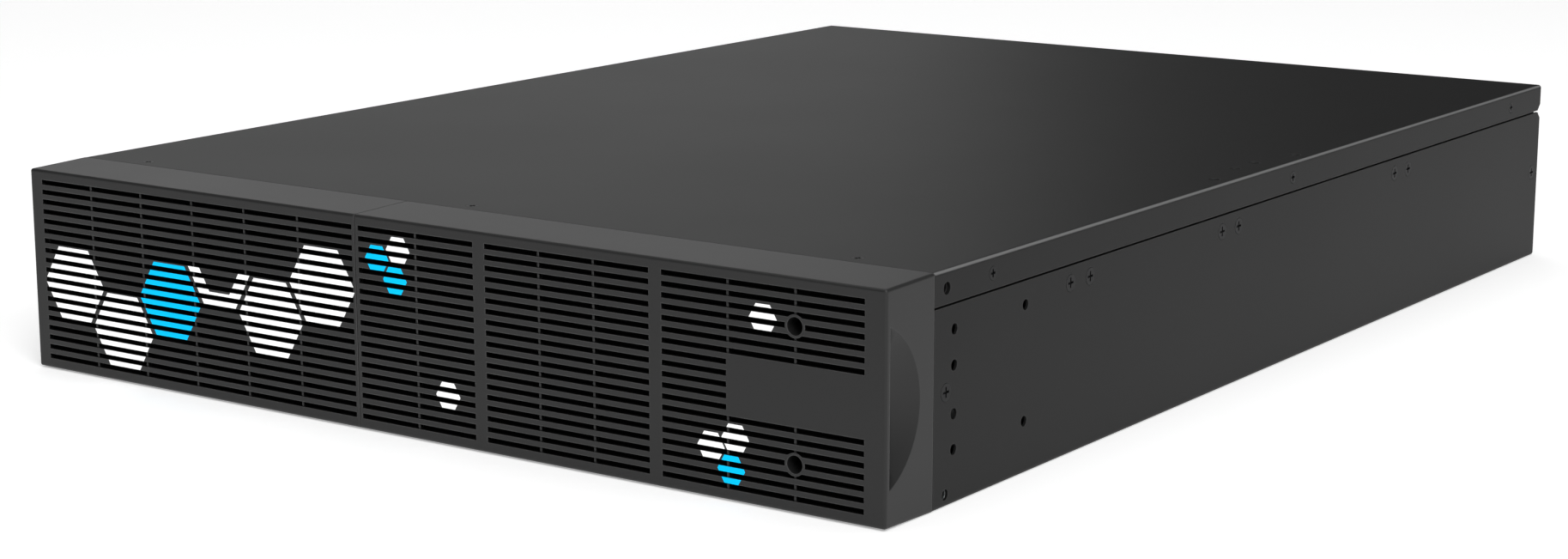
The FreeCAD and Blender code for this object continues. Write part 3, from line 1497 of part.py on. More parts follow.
def rear_panel():
    """The recessed rear panel, folded outwards along both walls."""
    low = sheet + fit_gap
    high = roof - fit_gap
    reach = inner - fit_gap
    plate = box(-reach, reach, panel_front, panel_back, low, high)
    flange_back = panel_front + fold - 1
    legs = []
    for s in (-1, 1):
        legs.append(box(*sorted((s * reach, s * (reach - sheet))), panel_front, flange_back, low, high))
    body = joined([plate] + legs)
    p = panel_fit
    y0 = panel_front - 1
    y1 = panel_back + 1
    tools = []
    for x in fan_spots():
        tools.append(rod(fan_bore, (x, y0, mid_z), (0, 1, 0), sheet + 2))
        for sx in (-1, 1):
            for sz in (-1, 1):
                spot = (x + sx * fan_hole, y0, mid_z + sz * fan_hole)
                tools.append(rod(m4_hole, spot, (0, 1, 0), sheet + 2))
    for x, z in small_outlet_spots():
        wide, high_ = small_outline
        tools.append(cut_corners(x, z, wide + 3 + 2 * p, high_ + 3 + 2 * p, corner_cut, y0, y1))
    for x, z in (inlet_spot, large_spot):
        wide, high_ = large_outline
        tools.append(cut_corners(x, z, wide + 3 + 2 * p, high_ + 3 + 2 * p, corner_cut, y0, y1))
    for x, z in breaker_spots:
        tools.append(rod(breaker_radius + p, (x, y0, z), (0, 1, 0), sheet + 2))
    for x, z in light_spots:
        tools.append(rod(light_radius + p, (x, y0, z), (0, 1, 0), sheet + 2))
    tools.append(rod(button_radius + 1.0 + p, (button_spot[0], y0, button_spot[1]), (0, 1, 0),
                     sheet + 2))
    tools.append(block(*serial_spot, 18.5 + 2 * p, 9.5 + 2 * p, y0, y1))
    tools.append(block(*usb_spot, 12.0 + 2 * p, 11.0 + 2 * p, y0, y1))
    tools.append(block(*stop_spot, 12.0 + 2 * p, 9.0 + 2 * p, y0, y1))
    x, z = slot_spot
    tools.append(block(x, z, slot_mouth[0] + 2 * p, slot_mouth[1] + 2 * p, y0, y1))
    for s in (-1, 1):
        tools.append(rod(m4, (x + s * slot_cover_reach(), y0, z), (0, 1, 0), sheet + 2))
    tools.append(rod(m4, (ground_spot[0], y0, ground_spot[1]), (0, 1, 0), sheet + 2))
    for s in (-1, 1):
        spot = (s * (half + 1), rear_screw_y, mid_z)
        tools.append(rod(m4 + fit_gap, spot, (-s, 0, 0), 6))
    keep("rear_panel", drilled(body, tools))


# ---------------------------------------------------------------- build and write
base_chassis()
top_cover()
front_plate()
rear_panel()
bay_divider()
cross_braces()
case_screws()
bezels()
battery_tray()
tray_cover()
tray_handle()
tray_thumbscrews()
batteries()
battery_wiring()
blind_connector()
tray_rails()
boards()
power_stage()
chokes_and_relays()
internal_wiring()
fans()
panel_screws()
outlets()
inlet()
breakers()
power_button()
signal_ports()
slot_cover()

os.makedirs("parts", exist_ok=True)
for name, shape in pieces.items():
    shape.exportStep(os.path.join("parts", name + ".step"))
print(len(pieces), "nodes written")
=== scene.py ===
import math

import bpy
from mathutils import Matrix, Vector


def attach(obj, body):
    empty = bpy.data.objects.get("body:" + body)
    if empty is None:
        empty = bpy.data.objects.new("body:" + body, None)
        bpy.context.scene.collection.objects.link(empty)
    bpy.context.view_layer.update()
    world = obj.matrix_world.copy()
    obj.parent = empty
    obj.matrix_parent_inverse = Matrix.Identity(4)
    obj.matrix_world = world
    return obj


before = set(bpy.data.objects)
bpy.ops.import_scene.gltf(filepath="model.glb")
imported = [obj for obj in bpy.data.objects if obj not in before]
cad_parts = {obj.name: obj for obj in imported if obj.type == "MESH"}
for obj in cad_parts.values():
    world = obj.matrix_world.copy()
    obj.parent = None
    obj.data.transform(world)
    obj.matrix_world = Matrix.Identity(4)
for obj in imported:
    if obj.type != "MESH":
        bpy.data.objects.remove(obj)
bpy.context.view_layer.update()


# ---- Case: tub, lid and rear panel ----
# Folded 1.2 mm steel in fine-texture black powder coat. The lid drops over the tub and cross-head
# screws hold it; the cured powder leaves a fine pebbled grain, with a painted highlight along the
# folds.
def linear(code):
    """An sRGB code such as "#303030" as the linear colour that a shader takes."""
    parts = [int(code[i:i + 2], 16) / 255 for i in (1, 3, 5)]
    return [p / 12.92 if p <= 0.04045 else ((p + 0.055) / 1.055) ** 2.4 for p in parts] + [1.0]


def shade(tree, kind, settings, links=()):
    """Adds one shader node, with its settings, and its links as {input: output socket}."""
    made = tree.nodes.new("ShaderNode" + kind)
    for name, value in settings.items():
        if isinstance(name, int) or name in made.inputs:
            made.inputs[name].default_value = value
        else:
            setattr(made, name, value)
    for name, source in dict(links).items():
        tree.links.new(source, made.inputs[name])
    return made


MM = 1000  # millimetres in a metre


def surface(name, colour, rough, metal=0.0, patch=40.0, tint=0.12, grain=0.5, depth=0.008,
            edge=0.4, worn_and_highlit="#4A4A4A", wear_and_highlight=0.35, stretch=(1, 1, 1), blotch=0.03, gleam=0.4):
    """A finish on real measures in millimetres: slow patches of tone, fine grain, eased edges in
    another colour.

    patch and grain are the widths of the tone patches and of the grain, depth is the grain's
    height, and edge is the radius over which a corner is eased and turned to the edge colour, which
    is wear on most finishes and a painted highlight on the powder coat and the bezels.
    """
    made = bpy.data.materials.new(name)
    made.use_nodes = True
    tree = made.node_tree
    shader = tree.nodes["Principled BSDF"]
    place = shade(tree, "TexCoord", {}).outputs["Object"]
    drawn = shade(tree, "Mapping", {"Scale": stretch}, {"Vector": place}).outputs[0]
    slow = shade(tree, "TexNoise", {"Scale": MM / patch, "Detail": 5.0}, {"Vector": drawn})
    fine = shade(tree, "TexNoise", {"Scale": MM / grain, "Detail": 3.0}, {"Vector": drawn})
    turned = shade(tree, "Bevel", {"samples": 4, "Radius": edge / MM}).outputs[0]
    bump = shade(tree, "Bump", {"Distance": depth / MM},
                 {"Height": fine.outputs[0], "Normal": turned})
    flat = shade(tree, "NewGeometry", {}).outputs["Normal"]
    facing = shade(tree, "VectorMath", {"operation": "DOT_PRODUCT"}, {0: turned, 1: flat})
    # Past the first cosine a corner has begun to turn, and at the second it takes the edge colour in
    # full
    fold = shade(tree, "MapRange", {"From Min": 0.995, "From Max": 0.8, "To Max": wear_and_highlight},
                 {"Value": facing.outputs["Value"]})
    rubbed_and_highlit = shade(tree, "Math", {"operation": "MULTIPLY"},
                   {0: fold.outputs[0], 1: slow.outputs[0]})
    base = linear(colour)
    dark = [c * (1 - tint) for c in base[:3]] + [1.0]
    pale = [c * (1 + tint) for c in base[:3]] + [1.0]
    toned = shade(tree, "Mix", {"data_type": "RGBA", 6: dark, 7: pale}, {0: slow.outputs[0]})
    ended = shade(tree, "Mix", {"data_type": "RGBA", 7: linear(worn_and_highlit)},
                  {0: rubbed_and_highlit.outputs[0], 6: toned.outputs[2]})
    # Slow noise stays mostly between 0.3 and 0.7
    gloss = shade(tree, "MapRange", {"From Min": 0.3, "From Max": 0.7, "To Min": rough - blotch,
                                     "To Max": rough + blotch}, {"Value": slow.outputs[0]})
    tree.links.new(ended.outputs[2], shader.inputs["Base Color"])
    tree.links.new(gloss.outputs[0], shader.inputs["Roughness"])
    tree.links.new(bump.outputs[0], shader.inputs["Normal"])
    shader.inputs["Metallic"].default_value = metal
    shader.inputs["Specular IOR Level"].default_value = 0.5 if metal else gleam
    return made


def dress(material, *names):
    """Gives CAD pieces their finish."""
    for name in names:
        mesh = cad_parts[name].data
        mesh.materials.clear()
        mesh.materials.append(material)


# Polyester powder coat on steel, fine texture, matt: a soft, even black with no mirror in it
# The pale edge colour here is a painted highlight along the sharp corners and rims
powder_coat = surface("powder_coat", "#181818", 0.50, patch=120, tint=0.05, grain=0.45, depth=0.008,
                      edge=0.45, worn_and_highlit="#6E6E6E", wear_and_highlight=0.8, blotch=0.008, gleam=0.16)
dress(powder_coat, "base_chassis", "top_cover", "rear_panel", "slot_cover")


def paint_fold_highlight(material, reach, colour, gleam):
    """Paints a highlight on the cover's long folds: a paler, glossier line where the steel turns."""
    tree = material.node_tree
    shader = tree.nodes["Principled BSDF"]
    spot = shade(tree, "TexCoord", {})
    place = shade(tree, "SeparateXYZ", {}, {0: spot.outputs["Object"]})
    side = shade(tree, "Math", {"operation": "ABSOLUTE"}, {0: place.outputs["X"]}).outputs[0]
    both = shade(tree, "Math", {"operation": "ADD"}, {0: side, 1: place.outputs["Z"]}).outputs[0]
    near = shade(tree, "Math", {"operation": "GREATER_THAN", 1: reach / MM}, {0: both}).outputs[0]
    turned = shader.inputs["Normal"].links[0].from_node.inputs["Normal"].links[0].from_socket
    slopes = shade(tree, "SeparateXYZ", {}, {0: turned})
    slant = shade(tree, "Math", {"operation": "MULTIPLY"},
                  {0: slopes.outputs["X"], 1: slopes.outputs["Z"]}).outputs[0]
    # The product of the two slopes is 0 on the flats and 0.5 half-way round the fold
    steep = shade(tree, "MapRange", {"From Min": 0.25, "From Max": 0.45},
                  {"Value": shade(tree, "Math", {"operation": "ABSOLUTE"}, {0: slant}).outputs[0]})
    line = shade(tree, "Math", {"operation": "MULTIPLY"}, {0: near, 1: steep.outputs[0]}).outputs[0]
    base = shader.inputs["Base Color"].links[0].from_socket
    painted_highlight = shade(tree, "Mix", {"data_type": "RGBA", 7: linear(colour)}, {0: line, 6: base})
    level = shade(tree, "MapRange", {"To Min": shader.inputs["Specular IOR Level"].default_value,
                                     "To Max": gleam}, {"Value": line})
    tree.links.new(painted_highlight.outputs[2], shader.inputs["Base Color"])
    tree.links.new(level.outputs[0], shader.inputs["Specular IOR Level"])


# Only the folds at the cover's two long edges have this much side and height together, in mm, so only
# they get the painted highlight
paint_fold_highlight(powder_coat, reach=304.5, colour="#6C6C6C", gleam=0.6)


# ---- Front bezels ----
# Two moulded ABS and polycarbonate fronts with a spark-eroded matt grain, clipped to the front
# plate. Each has rows of slots between thin ribs, with shallow grips scooped in the outer ends.

# ABS and polycarbonate, injection-moulded, spark-eroded: a charcoal a little glossier than powder
# The pale edge colour here is a painted highlight along the bezels' sharp corners
bezel_abs = surface("bezel_abs", "#222222", 0.46, patch=90, tint=0.03, grain=0.18, depth=0.006,
                    edge=0.6, worn_and_highlit="#787878", wear_and_highlight=0.9, blotch=0.008, gleam=0.32)
dress(bezel_abs, "left_bezel", "right_bezel")


def paint_gap_shade(material, reach, low, high, least=0.08):
    """Paints shade into narrow gaps: darkens a finish and its specular level where its own walls close
    in on it.
    """
    tree = material.node_tree
    shader = tree.nodes["Principled BSDF"]
    open_sky = shade(tree, "AmbientOcclusion", {"samples": 4, "only_local": True,
                                                "Distance": reach / MM})
    lit = shade(tree, "MapRange", {"From Min": low, "From Max": high, "To Min": least, "To Max": 1.0},
                {"Value": open_sky.outputs["AO"]})
    base = shader.inputs["Base Color"].links[0].from_socket
    dimmed = shade(tree, "VectorMath", {"operation": "SCALE"}, {0: base, "Scale": lit.outputs[0]})
    gleam = shade(tree, "Math", {"operation": "MULTIPLY",
                                 1: shader.inputs["Specular IOR Level"].default_value},
                  {0: lit.outputs[0]})
    tree.links.new(dimmed.outputs[0], shader.inputs["Base Color"])
    tree.links.new(gleam.outputs[0], shader.inputs["Specular IOR Level"])


# Painted shade in the bezels' slots, between the ribs
paint_gap_shade(bezel_abs, reach=4.0, low=0.6, high=0.97)


# ---- Hexagons printed on the ribs ----
# Screen-printed white and cyan ink on the faces of the ribs, cut by the slots between them.
# The ink is a film a few hundredths of a millimetre thick, so each stripe is a thin strip of mesh.
ROW_PITCH = 4.225
SLOT_HIGH = 2.1
MID_Z = 44.0  # half the height of the case, where a slot has its middle
ROWS_EACH_WAY = 10  # one more than the slots above or below the middle
THIN_STRIPE = 0.2  # an ink stripe lower than this isn't printed
INK_FACE = -305.02
INK_BACK = -304.98


def piece(name, points, faces, material, body, smooth=False):
    """A mesh piece from points in millimetres, which rides on a CAD body."""
    mesh = bpy.data.meshes.new(name)
    mesh.from_pydata([[c / MM for c in p] for p in points], [], faces)
    mesh.update()
    made = bpy.data.objects.new(name, mesh)
    bpy.context.scene.collection.objects.link(made)
    mesh.materials.append(material)
    if smooth:
        mesh.shade_smooth()
        mesh.set_sharp_from_angle(angle=math.radians(35))
    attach(made, body)
    return made


def half_width(radius, rise):
    """Half the width of a flat-topped hexagon at a height above or below its middle."""
    return radius - abs(rise) / math.sqrt(3)


def hexagon_stripes(x, z, radius, hole=0.0, top=math.inf):
    """The quads, as corner points, of a hexagon cut by the slots: one or two strips to a rib.

    radius is from the middle to a corner, hole is the same for an open middle, and top is a
    height that cuts the hexagon off.
    """
    quads = []
    flat, hole_flat = radius * math.sqrt(3) / 2, hole * math.sqrt(3) / 2
    for row in range(-ROWS_EACH_WAY, ROWS_EACH_WAY):
        low = max(MID_Z + row * ROW_PITCH + SLOT_HIGH / 2, z - flat)
        high = min(MID_Z + (row + 1) * ROW_PITCH - SLOT_HIGH / 2, z + flat, top)
        if high - low < THIN_STRIPE:
            continue
        turns = [t for t in (z, z - hole_flat, z + hole_flat) if low < t < high]
        levels = sorted({low, high, *turns})
        for a, b in zip(levels, levels[1:]):
            wide = [half_width(radius, a - z), half_width(radius, b - z)]
            if abs((a + b) / 2 - z) >= hole_flat:
                quads.append([(x - wide[0], a), (x + wide[0], a), (x + wide[1], b), (x - wide[1], b)])
                continue
            near = [half_width(hole, a - z), half_width(hole, b - z)]
            for side in (-1, 1):
                quads.append([(x + side * near[0], a), (x + side * wide[0], a),
                              (x + side * wide[1], b), (x + side * near[1], b)])
    return quads


def printed(name, shapes, material, body):
    """Hexagons of one ink on one bezel, as closed strips through the rib's face."""
    points, faces = [], []
    for quad in [q for shape in shapes for q in hexagon_stripes(*shape)]:
        first = len(points)
        mid_x, mid_z = sum(x for x, z in quad) / 4, sum(z for x, z in quad) / 4
        ring = sorted(quad, key=lambda corner: math.atan2(corner[1] - mid_z, corner[0] - mid_x))
        points += [(x, INK_FACE, z) for x, z in ring] + [(x, INK_BACK, z) for x, z in ring]
        faces += [[first + i for i in (0, 1, 2, 3)], [first + i for i in (7, 6, 5, 4)]]
        faces += [[first + i, first + i + 4, first + (i + 1) % 4 + 4, first + (i + 1) % 4]
                  for i in range(4)]
    return piece(name, points, faces, material, body)


# Screen ink on moulded plastic, silk white and cyan: flat, clean and fully opaque on the black
white_ink = surface("white_ink", "#FCFCFC", 0.5, patch=9, tint=0.01, grain=0.2, depth=0.003,
                    edge=0.05, worn_and_highlit="#FCFCFC", wear_and_highlight=0.0, gleam=0.1)
cyan_ink = surface("cyan_ink", "#00C8FF", 0.5, patch=9, tint=0.02, grain=0.2, depth=0.003,
                   edge=0.05, worn_and_highlit="#00C8FF", wear_and_highlight=0.0, gleam=0.05)
INK_PAINTED_GLOW = 0.14  # a painted glow: a little light of its own makes the ink read brighter
for ink, tone in ((white_ink, "#FFFFFF"), (cyan_ink, "#00C8FF")):
    ink_shader = ink.node_tree.nodes["Principled BSDF"]
    ink_shader.inputs["Emission Color"].default_value = linear(tone)
    ink_shader.inputs["Emission Strength"].default_value = INK_PAINTED_GLOW

# Each hexagon is its middle's x and z and its radius, with the open one's hole and cut top after
BIG_HEX = 18.0
SMALL_HEX = 6.2
printed("left_white_hexagons", [(-194.0, 39.5, BIG_HEX), (-165.1, 22.7, BIG_HEX),
                                (-107.3, 56.2, BIG_HEX, 11.5, 56.2), (-78.4, 39.5, BIG_HEX),
                                (-49.5, 56.2, BIG_HEX)], white_ink, "left_bezel_body")
printed("left_cyan_hexagon", [(-136.2, 39.5, BIG_HEX)], cyan_ink, "left_bezel_body")
printed("right_white_hexagons", [(-8.4, 75.1, SMALL_HEX), (16.1, 20.5, SMALL_HEX),
                                 (166.0, 70.4, SMALL_HEX), (142.8, 19.9, SMALL_HEX),
                                 (153.7, 24.2, SMALL_HEX)], white_ink, "right_bezel_body")
printed("right_cyan_hexagons", [(-19.5, 70.7, SMALL_HEX), (-10.2, 63.1, SMALL_HEX),
                                (151.9, 12.3, SMALL_HEX)], cyan_ink, "right_bezel_body")


# ---- Dust filters ----
# Open-cell black polyether foam, die-cut and pressed into each bezel behind the slots.
# The open cells are about 0.8 mm across, so the foam looks black and slightly ragged.

# Polyether foam, fire-proofed black: swallows nearly all light
filter_foam = surface("filter_foam", "#050505", 0.95, patch=12, tint=0.3, grain=0.8, depth=0.25,
                      edge=0.2, worn_and_highlit="#0A0A0A", wear_and_highlight=0.2, gleam=0.05)
dress(filter_foam, "left_filter", "right_filter")


# ---- Inner sheet metal ----
# Electro-galvanised steel sheet, 1 mm, left bare: front plate, tray, braces, rails and bracket.
# The rolling leaves faint streaks along the sheet, with a bluish grey chromate film.

# Electro-galvanised steel, rolled: a grey metal with long soft streaks and pale cut edges
zinc_sheet = surface("zinc_sheet", "#A9ADAF", 0.36, metal=1.0, patch=25, tint=0.10, grain=0.9,
                     depth=0.004, edge=0.3, worn_and_highlit="#D5D8D9", wear_and_highlight=0.4, stretch=(1, 0.06, 1), blotch=0.08)
dress(zinc_sheet, "front_plate", "bay_divider", "cross_braces", "battery_tray", "tray_cover",
      "socket_bracket", "tray_rails")


# ---- Screws ----
# Steel screws: black-oxide countersunk ones in the case, bright zinc-plated ones inside.
# Cold-headed and rolled, so the heads have fine turned marks and rubbed recess edges.

# Black oxide on steel, oiled: nearly black, with a faint grey where the driver rubs
black_oxide = surface("black_oxide", "#121213", 0.45, patch=3, tint=0.15, grain=0.12, depth=0.004,
                      edge=0.12, worn_and_highlit="#3C3C3C", wear_and_highlight=0.4, gleam=0.18)
# Zinc plate on steel, bright dipped: a clear silver
bright_zinc = surface("bright_zinc", "#C9CBCD", 0.26, metal=1.0, patch=3, tint=0.08, grain=0.12,
                      depth=0.003, edge=0.15, worn_and_highlit="#E4E6E8", wear_and_highlight=0.4)
dress(black_oxide, "side_screws", "cover_screws")
dress(bright_zinc, "bezel_screws", "tray_screws", "tray_thumbscrews", "board_screws", "panel_screws")


# ---- Tray handle ----
# A moulded grip of glass-filled nylon, riveted to the tray's face.
# The hand pulls the whole tray out by it.

# Glass-filled nylon, moulded: black with a dry, slightly uneven sheen
glass_nylon = surface("glass_nylon", "#171717", 0.5, patch=15, tint=0.1, grain=0.25, depth=0.008,
                      edge=0.4, worn_and_highlit="#3A3A3A", wear_and_highlight=0.35)
dress(glass_nylon, "tray_handle")


# ---- Batteries ----
# Valve-regulated lead-acid blocks: moulded grey ABS cases with welded darker lids, tinned tabs,
# red and black leads on push-on sleeves, and a plug at the rear that mates as the tray goes home.

# ABS, moulded smooth: mid grey for the cases and a darker grey for the welded lids
battery_abs = surface("battery_abs", "#4A4E52", 0.42, patch=30, tint=0.06, grain=0.2, depth=0.005,
                      edge=0.8, worn_and_highlit="#6A6E72", wear_and_highlight=0.3)
battery_lid = surface("battery_lid", "#33373B", 0.42, patch=30, tint=0.06, grain=0.2, depth=0.005,
                      edge=0.8, worn_and_highlit="#565A5E", wear_and_highlight=0.3)
# Tinned brass, stamped: warm silver that shows yellow where the tin is rubbed through
tinned_brass = surface("tinned_brass", "#CFCBBE", 0.3, metal=1.0, patch=4, tint=0.08, grain=0.15,
                       depth=0.003, edge=0.15, worn_and_highlit="#D8C48A", wear_and_highlight=0.4)
# PVC wire covering, extruded: smooth and half glossy, in red and in black
red_wire = surface("red_wire", "#8E1512", 0.38, patch=8, tint=0.08, grain=0.4, depth=0.004,
                   edge=0.1, worn_and_highlit="#A03A34", wear_and_highlight=0.1)
black_wire = surface("black_wire", "#121213", 0.38, patch=8, tint=0.08, grain=0.4, depth=0.004,
                     edge=0.1, worn_and_highlit="#2C2C2E", wear_and_highlight=0.1)
# Nylon, moulded: a dark blue-grey with a soft sheen
connector_nylon = surface("connector_nylon", "#2C3134", 0.45, patch=12, tint=0.06, grain=0.2,
                          depth=0.005, edge=0.3, worn_and_highlit="#4E5356", wear_and_highlight=0.3)
dress(battery_abs, "battery_cases")
dress(battery_lid, "battery_lids")
dress(tinned_brass, "battery_terminals", "socket_pins", "board_standoffs", "inlet_blades")
dress(red_wire, "battery_wiring", "internal_wiring")
dress(connector_nylon, "tray_plug", "bay_socket")


def alternate(node, material, fineness=20000):
    """Gives every second separate wire of a CAD piece another finish, counted from the left.

    Corners in the same place, to one part in fineness of a metre, belong to one wire.
    """
    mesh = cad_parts[node].data
    mesh.materials.append(material)
    corner = [tuple(round(c * fineness) for c in v.co) for v in mesh.vertices]
    joined = {}

    def root(key):
        while joined.setdefault(key, key) != key:
            joined[key] = joined[joined[key]]
            key = joined[key]
        return key

    for face in mesh.polygons:
        first = root(corner[face.vertices[0]])
        for v in face.vertices[1:]:
            joined[root(corner[v])] = first
    runs = {}
    for key in set(corner):
        runs.setdefault(root(key), []).append(key[0])
    order = sorted(runs, key=lambda r: (sum(runs[r]) / len(runs[r]), r))
    for face in mesh.polygons:
        face.material_index = order.index(root(corner[face.vertices[0]])) % 2


alternate("battery_wiring", black_wire)
alternate("internal_wiring", black_wire)


# ---- Boards and power parts ----
# Glass-epoxy boards under green solder mask, extruded aluminium sinks with transistors screwed on,
# sleeved capacitors, enamelled copper chokes, boxed relays and a ferrite transformer.

# Solder mask on glass epoxy, printed and cured: glossy deep green, cloudy over the copper
solder_mask = surface("solder_mask", "#0D3A22", 0.3, patch=6, tint=0.25, grain=0.6, depth=0.01,
                      edge=0.1, worn_and_highlit="#8C7A4A", wear_and_highlight=0.3)
# Aluminium, extruded and clear anodised: pale satin metal with die lines
anodised = surface("anodised", "#B4B7BA", 0.38, metal=1.0, patch=10, tint=0.08, grain=0.5,
                   depth=0.004, edge=0.2, worn_and_highlit="#D6D8DA", wear_and_highlight=0.4, stretch=(1, 0.04, 1))
# Epoxy, transfer-moulded: dull black
chip_epoxy = surface("chip_epoxy", "#121213", 0.55, patch=5, tint=0.1, grain=0.12, depth=0.006,
                     edge=0.15, worn_and_highlit="#2A2A2C", wear_and_highlight=0.2)
# PVC sleeve, heat-shrunk: glossy navy
sleeve_pvc = surface("sleeve_pvc", "#10182C", 0.28, patch=10, tint=0.08, grain=0.5, depth=0.004,
                     edge=0.5, worn_and_highlit="#2A3450", wear_and_highlight=0.2)
# Copper wire, enamelled and wound: glossy reddish brown, ribbed by the turns
enamelled = surface("enamelled_copper", "#A4511F", 0.3, metal=0.9, patch=4, tint=0.15, grain=0.8,
                    depth=0.05, edge=0.2, worn_and_highlit="#C87A40", wear_and_highlight=0.3, stretch=(1, 0.1, 1))
# Filled polyester relay case, moulded: blue-black, half glossy
relay_box = surface("relay_box", "#1C2226", 0.35, patch=8, tint=0.08, grain=0.2, depth=0.004,
                    edge=0.4, worn_and_highlit="#3C4246", wear_and_highlight=0.3)
# Ferrite, pressed and sintered: dull dark grey, faintly gritty
ferrite = surface("ferrite", "#26262A", 0.62, patch=6, tint=0.12, grain=0.2, depth=0.012,
                  edge=0.3, worn_and_highlit="#46464A", wear_and_highlight=0.3)
dress(solder_mask, "main_board", "output_board", "control_board")
dress(anodised, "heat_sinks")
dress(chip_epoxy, "power_transistors")
dress(sleeve_pvc, "bus_capacitors")
dress(enamelled, "chokes", "transformer_coil")
dress(relay_box, "relays")
dress(ferrite, "transformer_core")


def lathe(name, centre, profile, material, body, way="y", sides=48):
    """A turned piece: profile is (radius, distance along the axis) points, from its first end."""
    points, faces = [], []
    for radius, along in profile:
        for i in range(sides):
            turn = 2 * math.pi * i / sides
            a, b = radius * math.cos(turn), radius * math.sin(turn)
            step = {"x": (along, a, b), "y": (a, along, b), "z": (a, b, along)}[way]
            points.append([c + d for c, d in zip(centre, step)])
    for ring in range(len(profile) - 1):
        for i in range(sides):
            j = (i + 1) % sides
            faces.append([ring * sides + i, ring * sides + j, (ring + 1) * sides + j,
                          (ring + 1) * sides + i])
    faces.append(list(range(sides))[::-1])
    faces.append([(len(profile) - 1) * sides + i for i in range(sides)])
    return piece(name, points, faces, material, body, smooth=True)


def tube(name, path, outward, radius, material, body, sides=6):
    """A wire along a closed path; outward gives a direction away from the core at each point."""
    points, faces = [], []
    count = len(path)
    for i in range(count):
        along = (Vector(path[(i + 1) % count]) - Vector(path[i - 1])).normalized()
        up = Vector(outward[i])
        up = (up - along * up.dot(along)).normalized()
        across = along.cross(up)
        for k in range(sides):
            turn = 2 * math.pi * k / sides
            points.append(Vector(path[i]) + radius * (math.cos(turn) * up + math.sin(turn) * across))
    for i in range(count):
        for k in range(sides):
            near, far = i * sides, (i + 1) % count * sides
            faces.append([near + k, near + (k + 1) % sides, far + (k + 1) % sides, far + k])
    return piece(name, points, faces, material, body, smooth=True)


# Round enamelled copper wire wound on each ring core
CHOKE_X, CHOKE_Y, CHOKE_Z = -140.3, (108.8, 164.8, 220.8), 19.8
RING_RADIUS, LIMB_RADIUS = 17.0, 9.0  # of the ring's centre line, and of its round section
TURNS, POINTS_A_TURN = 34, 14
WIRE_RADIUS = 0.75
WIRE_OUT = WIRE_RADIUS * 0.7  # the wire beds a little into the core's coating
WIRE_LOW = 10.85 + WIRE_RADIUS  # lowest line of the wire, flattened where it rests on the board
for number, middle in enumerate(CHOKE_Y, 1):
    path, outward = [], []
    for i in range(TURNS * POINTS_A_TURN):
        around = 2 * math.pi * i / (TURNS * POINTS_A_TURN)
        about = 2 * math.pi * i / POINTS_A_TURN
        reach = LIMB_RADIUS + WIRE_OUT
        spot = [CHOKE_X + (RING_RADIUS + reach * math.cos(about)) * math.cos(around),
                middle + (RING_RADIUS + reach * math.cos(about)) * math.sin(around),
                CHOKE_Z + reach * math.sin(about)]
        spot[2] = max(spot[2], WIRE_LOW)
        path.append(spot)
        outward.append((math.cos(about) * math.cos(around), math.cos(about) * math.sin(around),
                        math.sin(about)))
    tube(f"choke_winding_{number}", path, outward, WIRE_RADIUS, enamelled, "case")


def chamfered(name, blocks, chamfer, material, body):
    """Several moulded blocks as one piece: each is (x0, x1, y0, y1, z0, z1) with bevelled top edges."""
    points, faces = [], []
    for x0, x1, y0, y1, z0, z1 in blocks:
        first = len(points)
        for inset, z in ((0, z0), (0, z1 - chamfer), (chamfer, z1)):
            points += [(x0 + inset, y0 + inset, z), (x1 - inset, y0 + inset, z),
                       (x1 - inset, y1 - inset, z), (x0 + inset, y1 - inset, z)]
        faces.append([first + 3, first + 2, first + 1, first])
        faces.append([first + 8, first + 9, first + 10, first + 11])
        for level in (0, 4):
            for i in range(4):
                j = (i + 1) % 4
                faces.append([first + level + i, first + level + j, first + level + 4 + j,
                              first + level + 4 + i])
    return piece(name, points, faces, material, body)


# Aluminium, deep-drawn: bright can tops with scored vents, inside each sleeve's rolled edge
can_top = surface("can_top", "#B9BCBE", 0.3, metal=1.0, patch=5, tint=0.06, grain=0.3, depth=0.003,
                  edge=0.1, worn_and_highlit="#D8DADC", wear_and_highlight=0.3)
BOARD_TOP, CAN_TOP = 10.8, 56.8
CAN_COLUMNS, CAN_FIRST_Y, CAN_PITCH, CANS_IN_COLUMN = (-142.4, -108.4), -55.0, 34.0, 4
CAN_PROFILE = [(12.6, -0.2), (12.6, 0.2), (12.0, 0.35), (3.0, 0.38)]
SCORE_LONG, SCORE_WIDE, SCORE_LOW, SCORE_EDGE = 8, 0.3, 0.3, 0.05  # the first two are half sizes
score_blocks = []
for column, can_x in enumerate(CAN_COLUMNS):
    for row in range(CANS_IN_COLUMN):
        can_y = CAN_FIRST_Y + CAN_PITCH * row
        lathe(f"can_top_{column}_{row}", (can_x, can_y, CAN_TOP), CAN_PROFILE, can_top, "case",
              way="z", sides=32)
        # The two scores cross, so one ends a hair lower than the other
        for half_x, half_y, rise in ((SCORE_LONG, SCORE_WIDE, 0.46), (SCORE_WIDE, SCORE_LONG, 0.45)):
            score_blocks.append((can_x - half_x, can_x + half_x, can_y - half_y, can_y + half_y,
                                 CAN_TOP + SCORE_LOW, CAN_TOP + rise))
chamfered("can_scores", score_blocks, SCORE_EDGE, ferrite, "case")

# Small board parts: boxed film capacitors, ceramic resistors, nylon headers and epoxy chips

# Polyester box, potted: ochre yellow, half glossy
film_box = surface("film_box", "#B98A1E", 0.4, patch=8, tint=0.06, grain=0.2, depth=0.004, edge=0.3,
                   worn_and_highlit="#D0A648", wear_and_highlight=0.3)
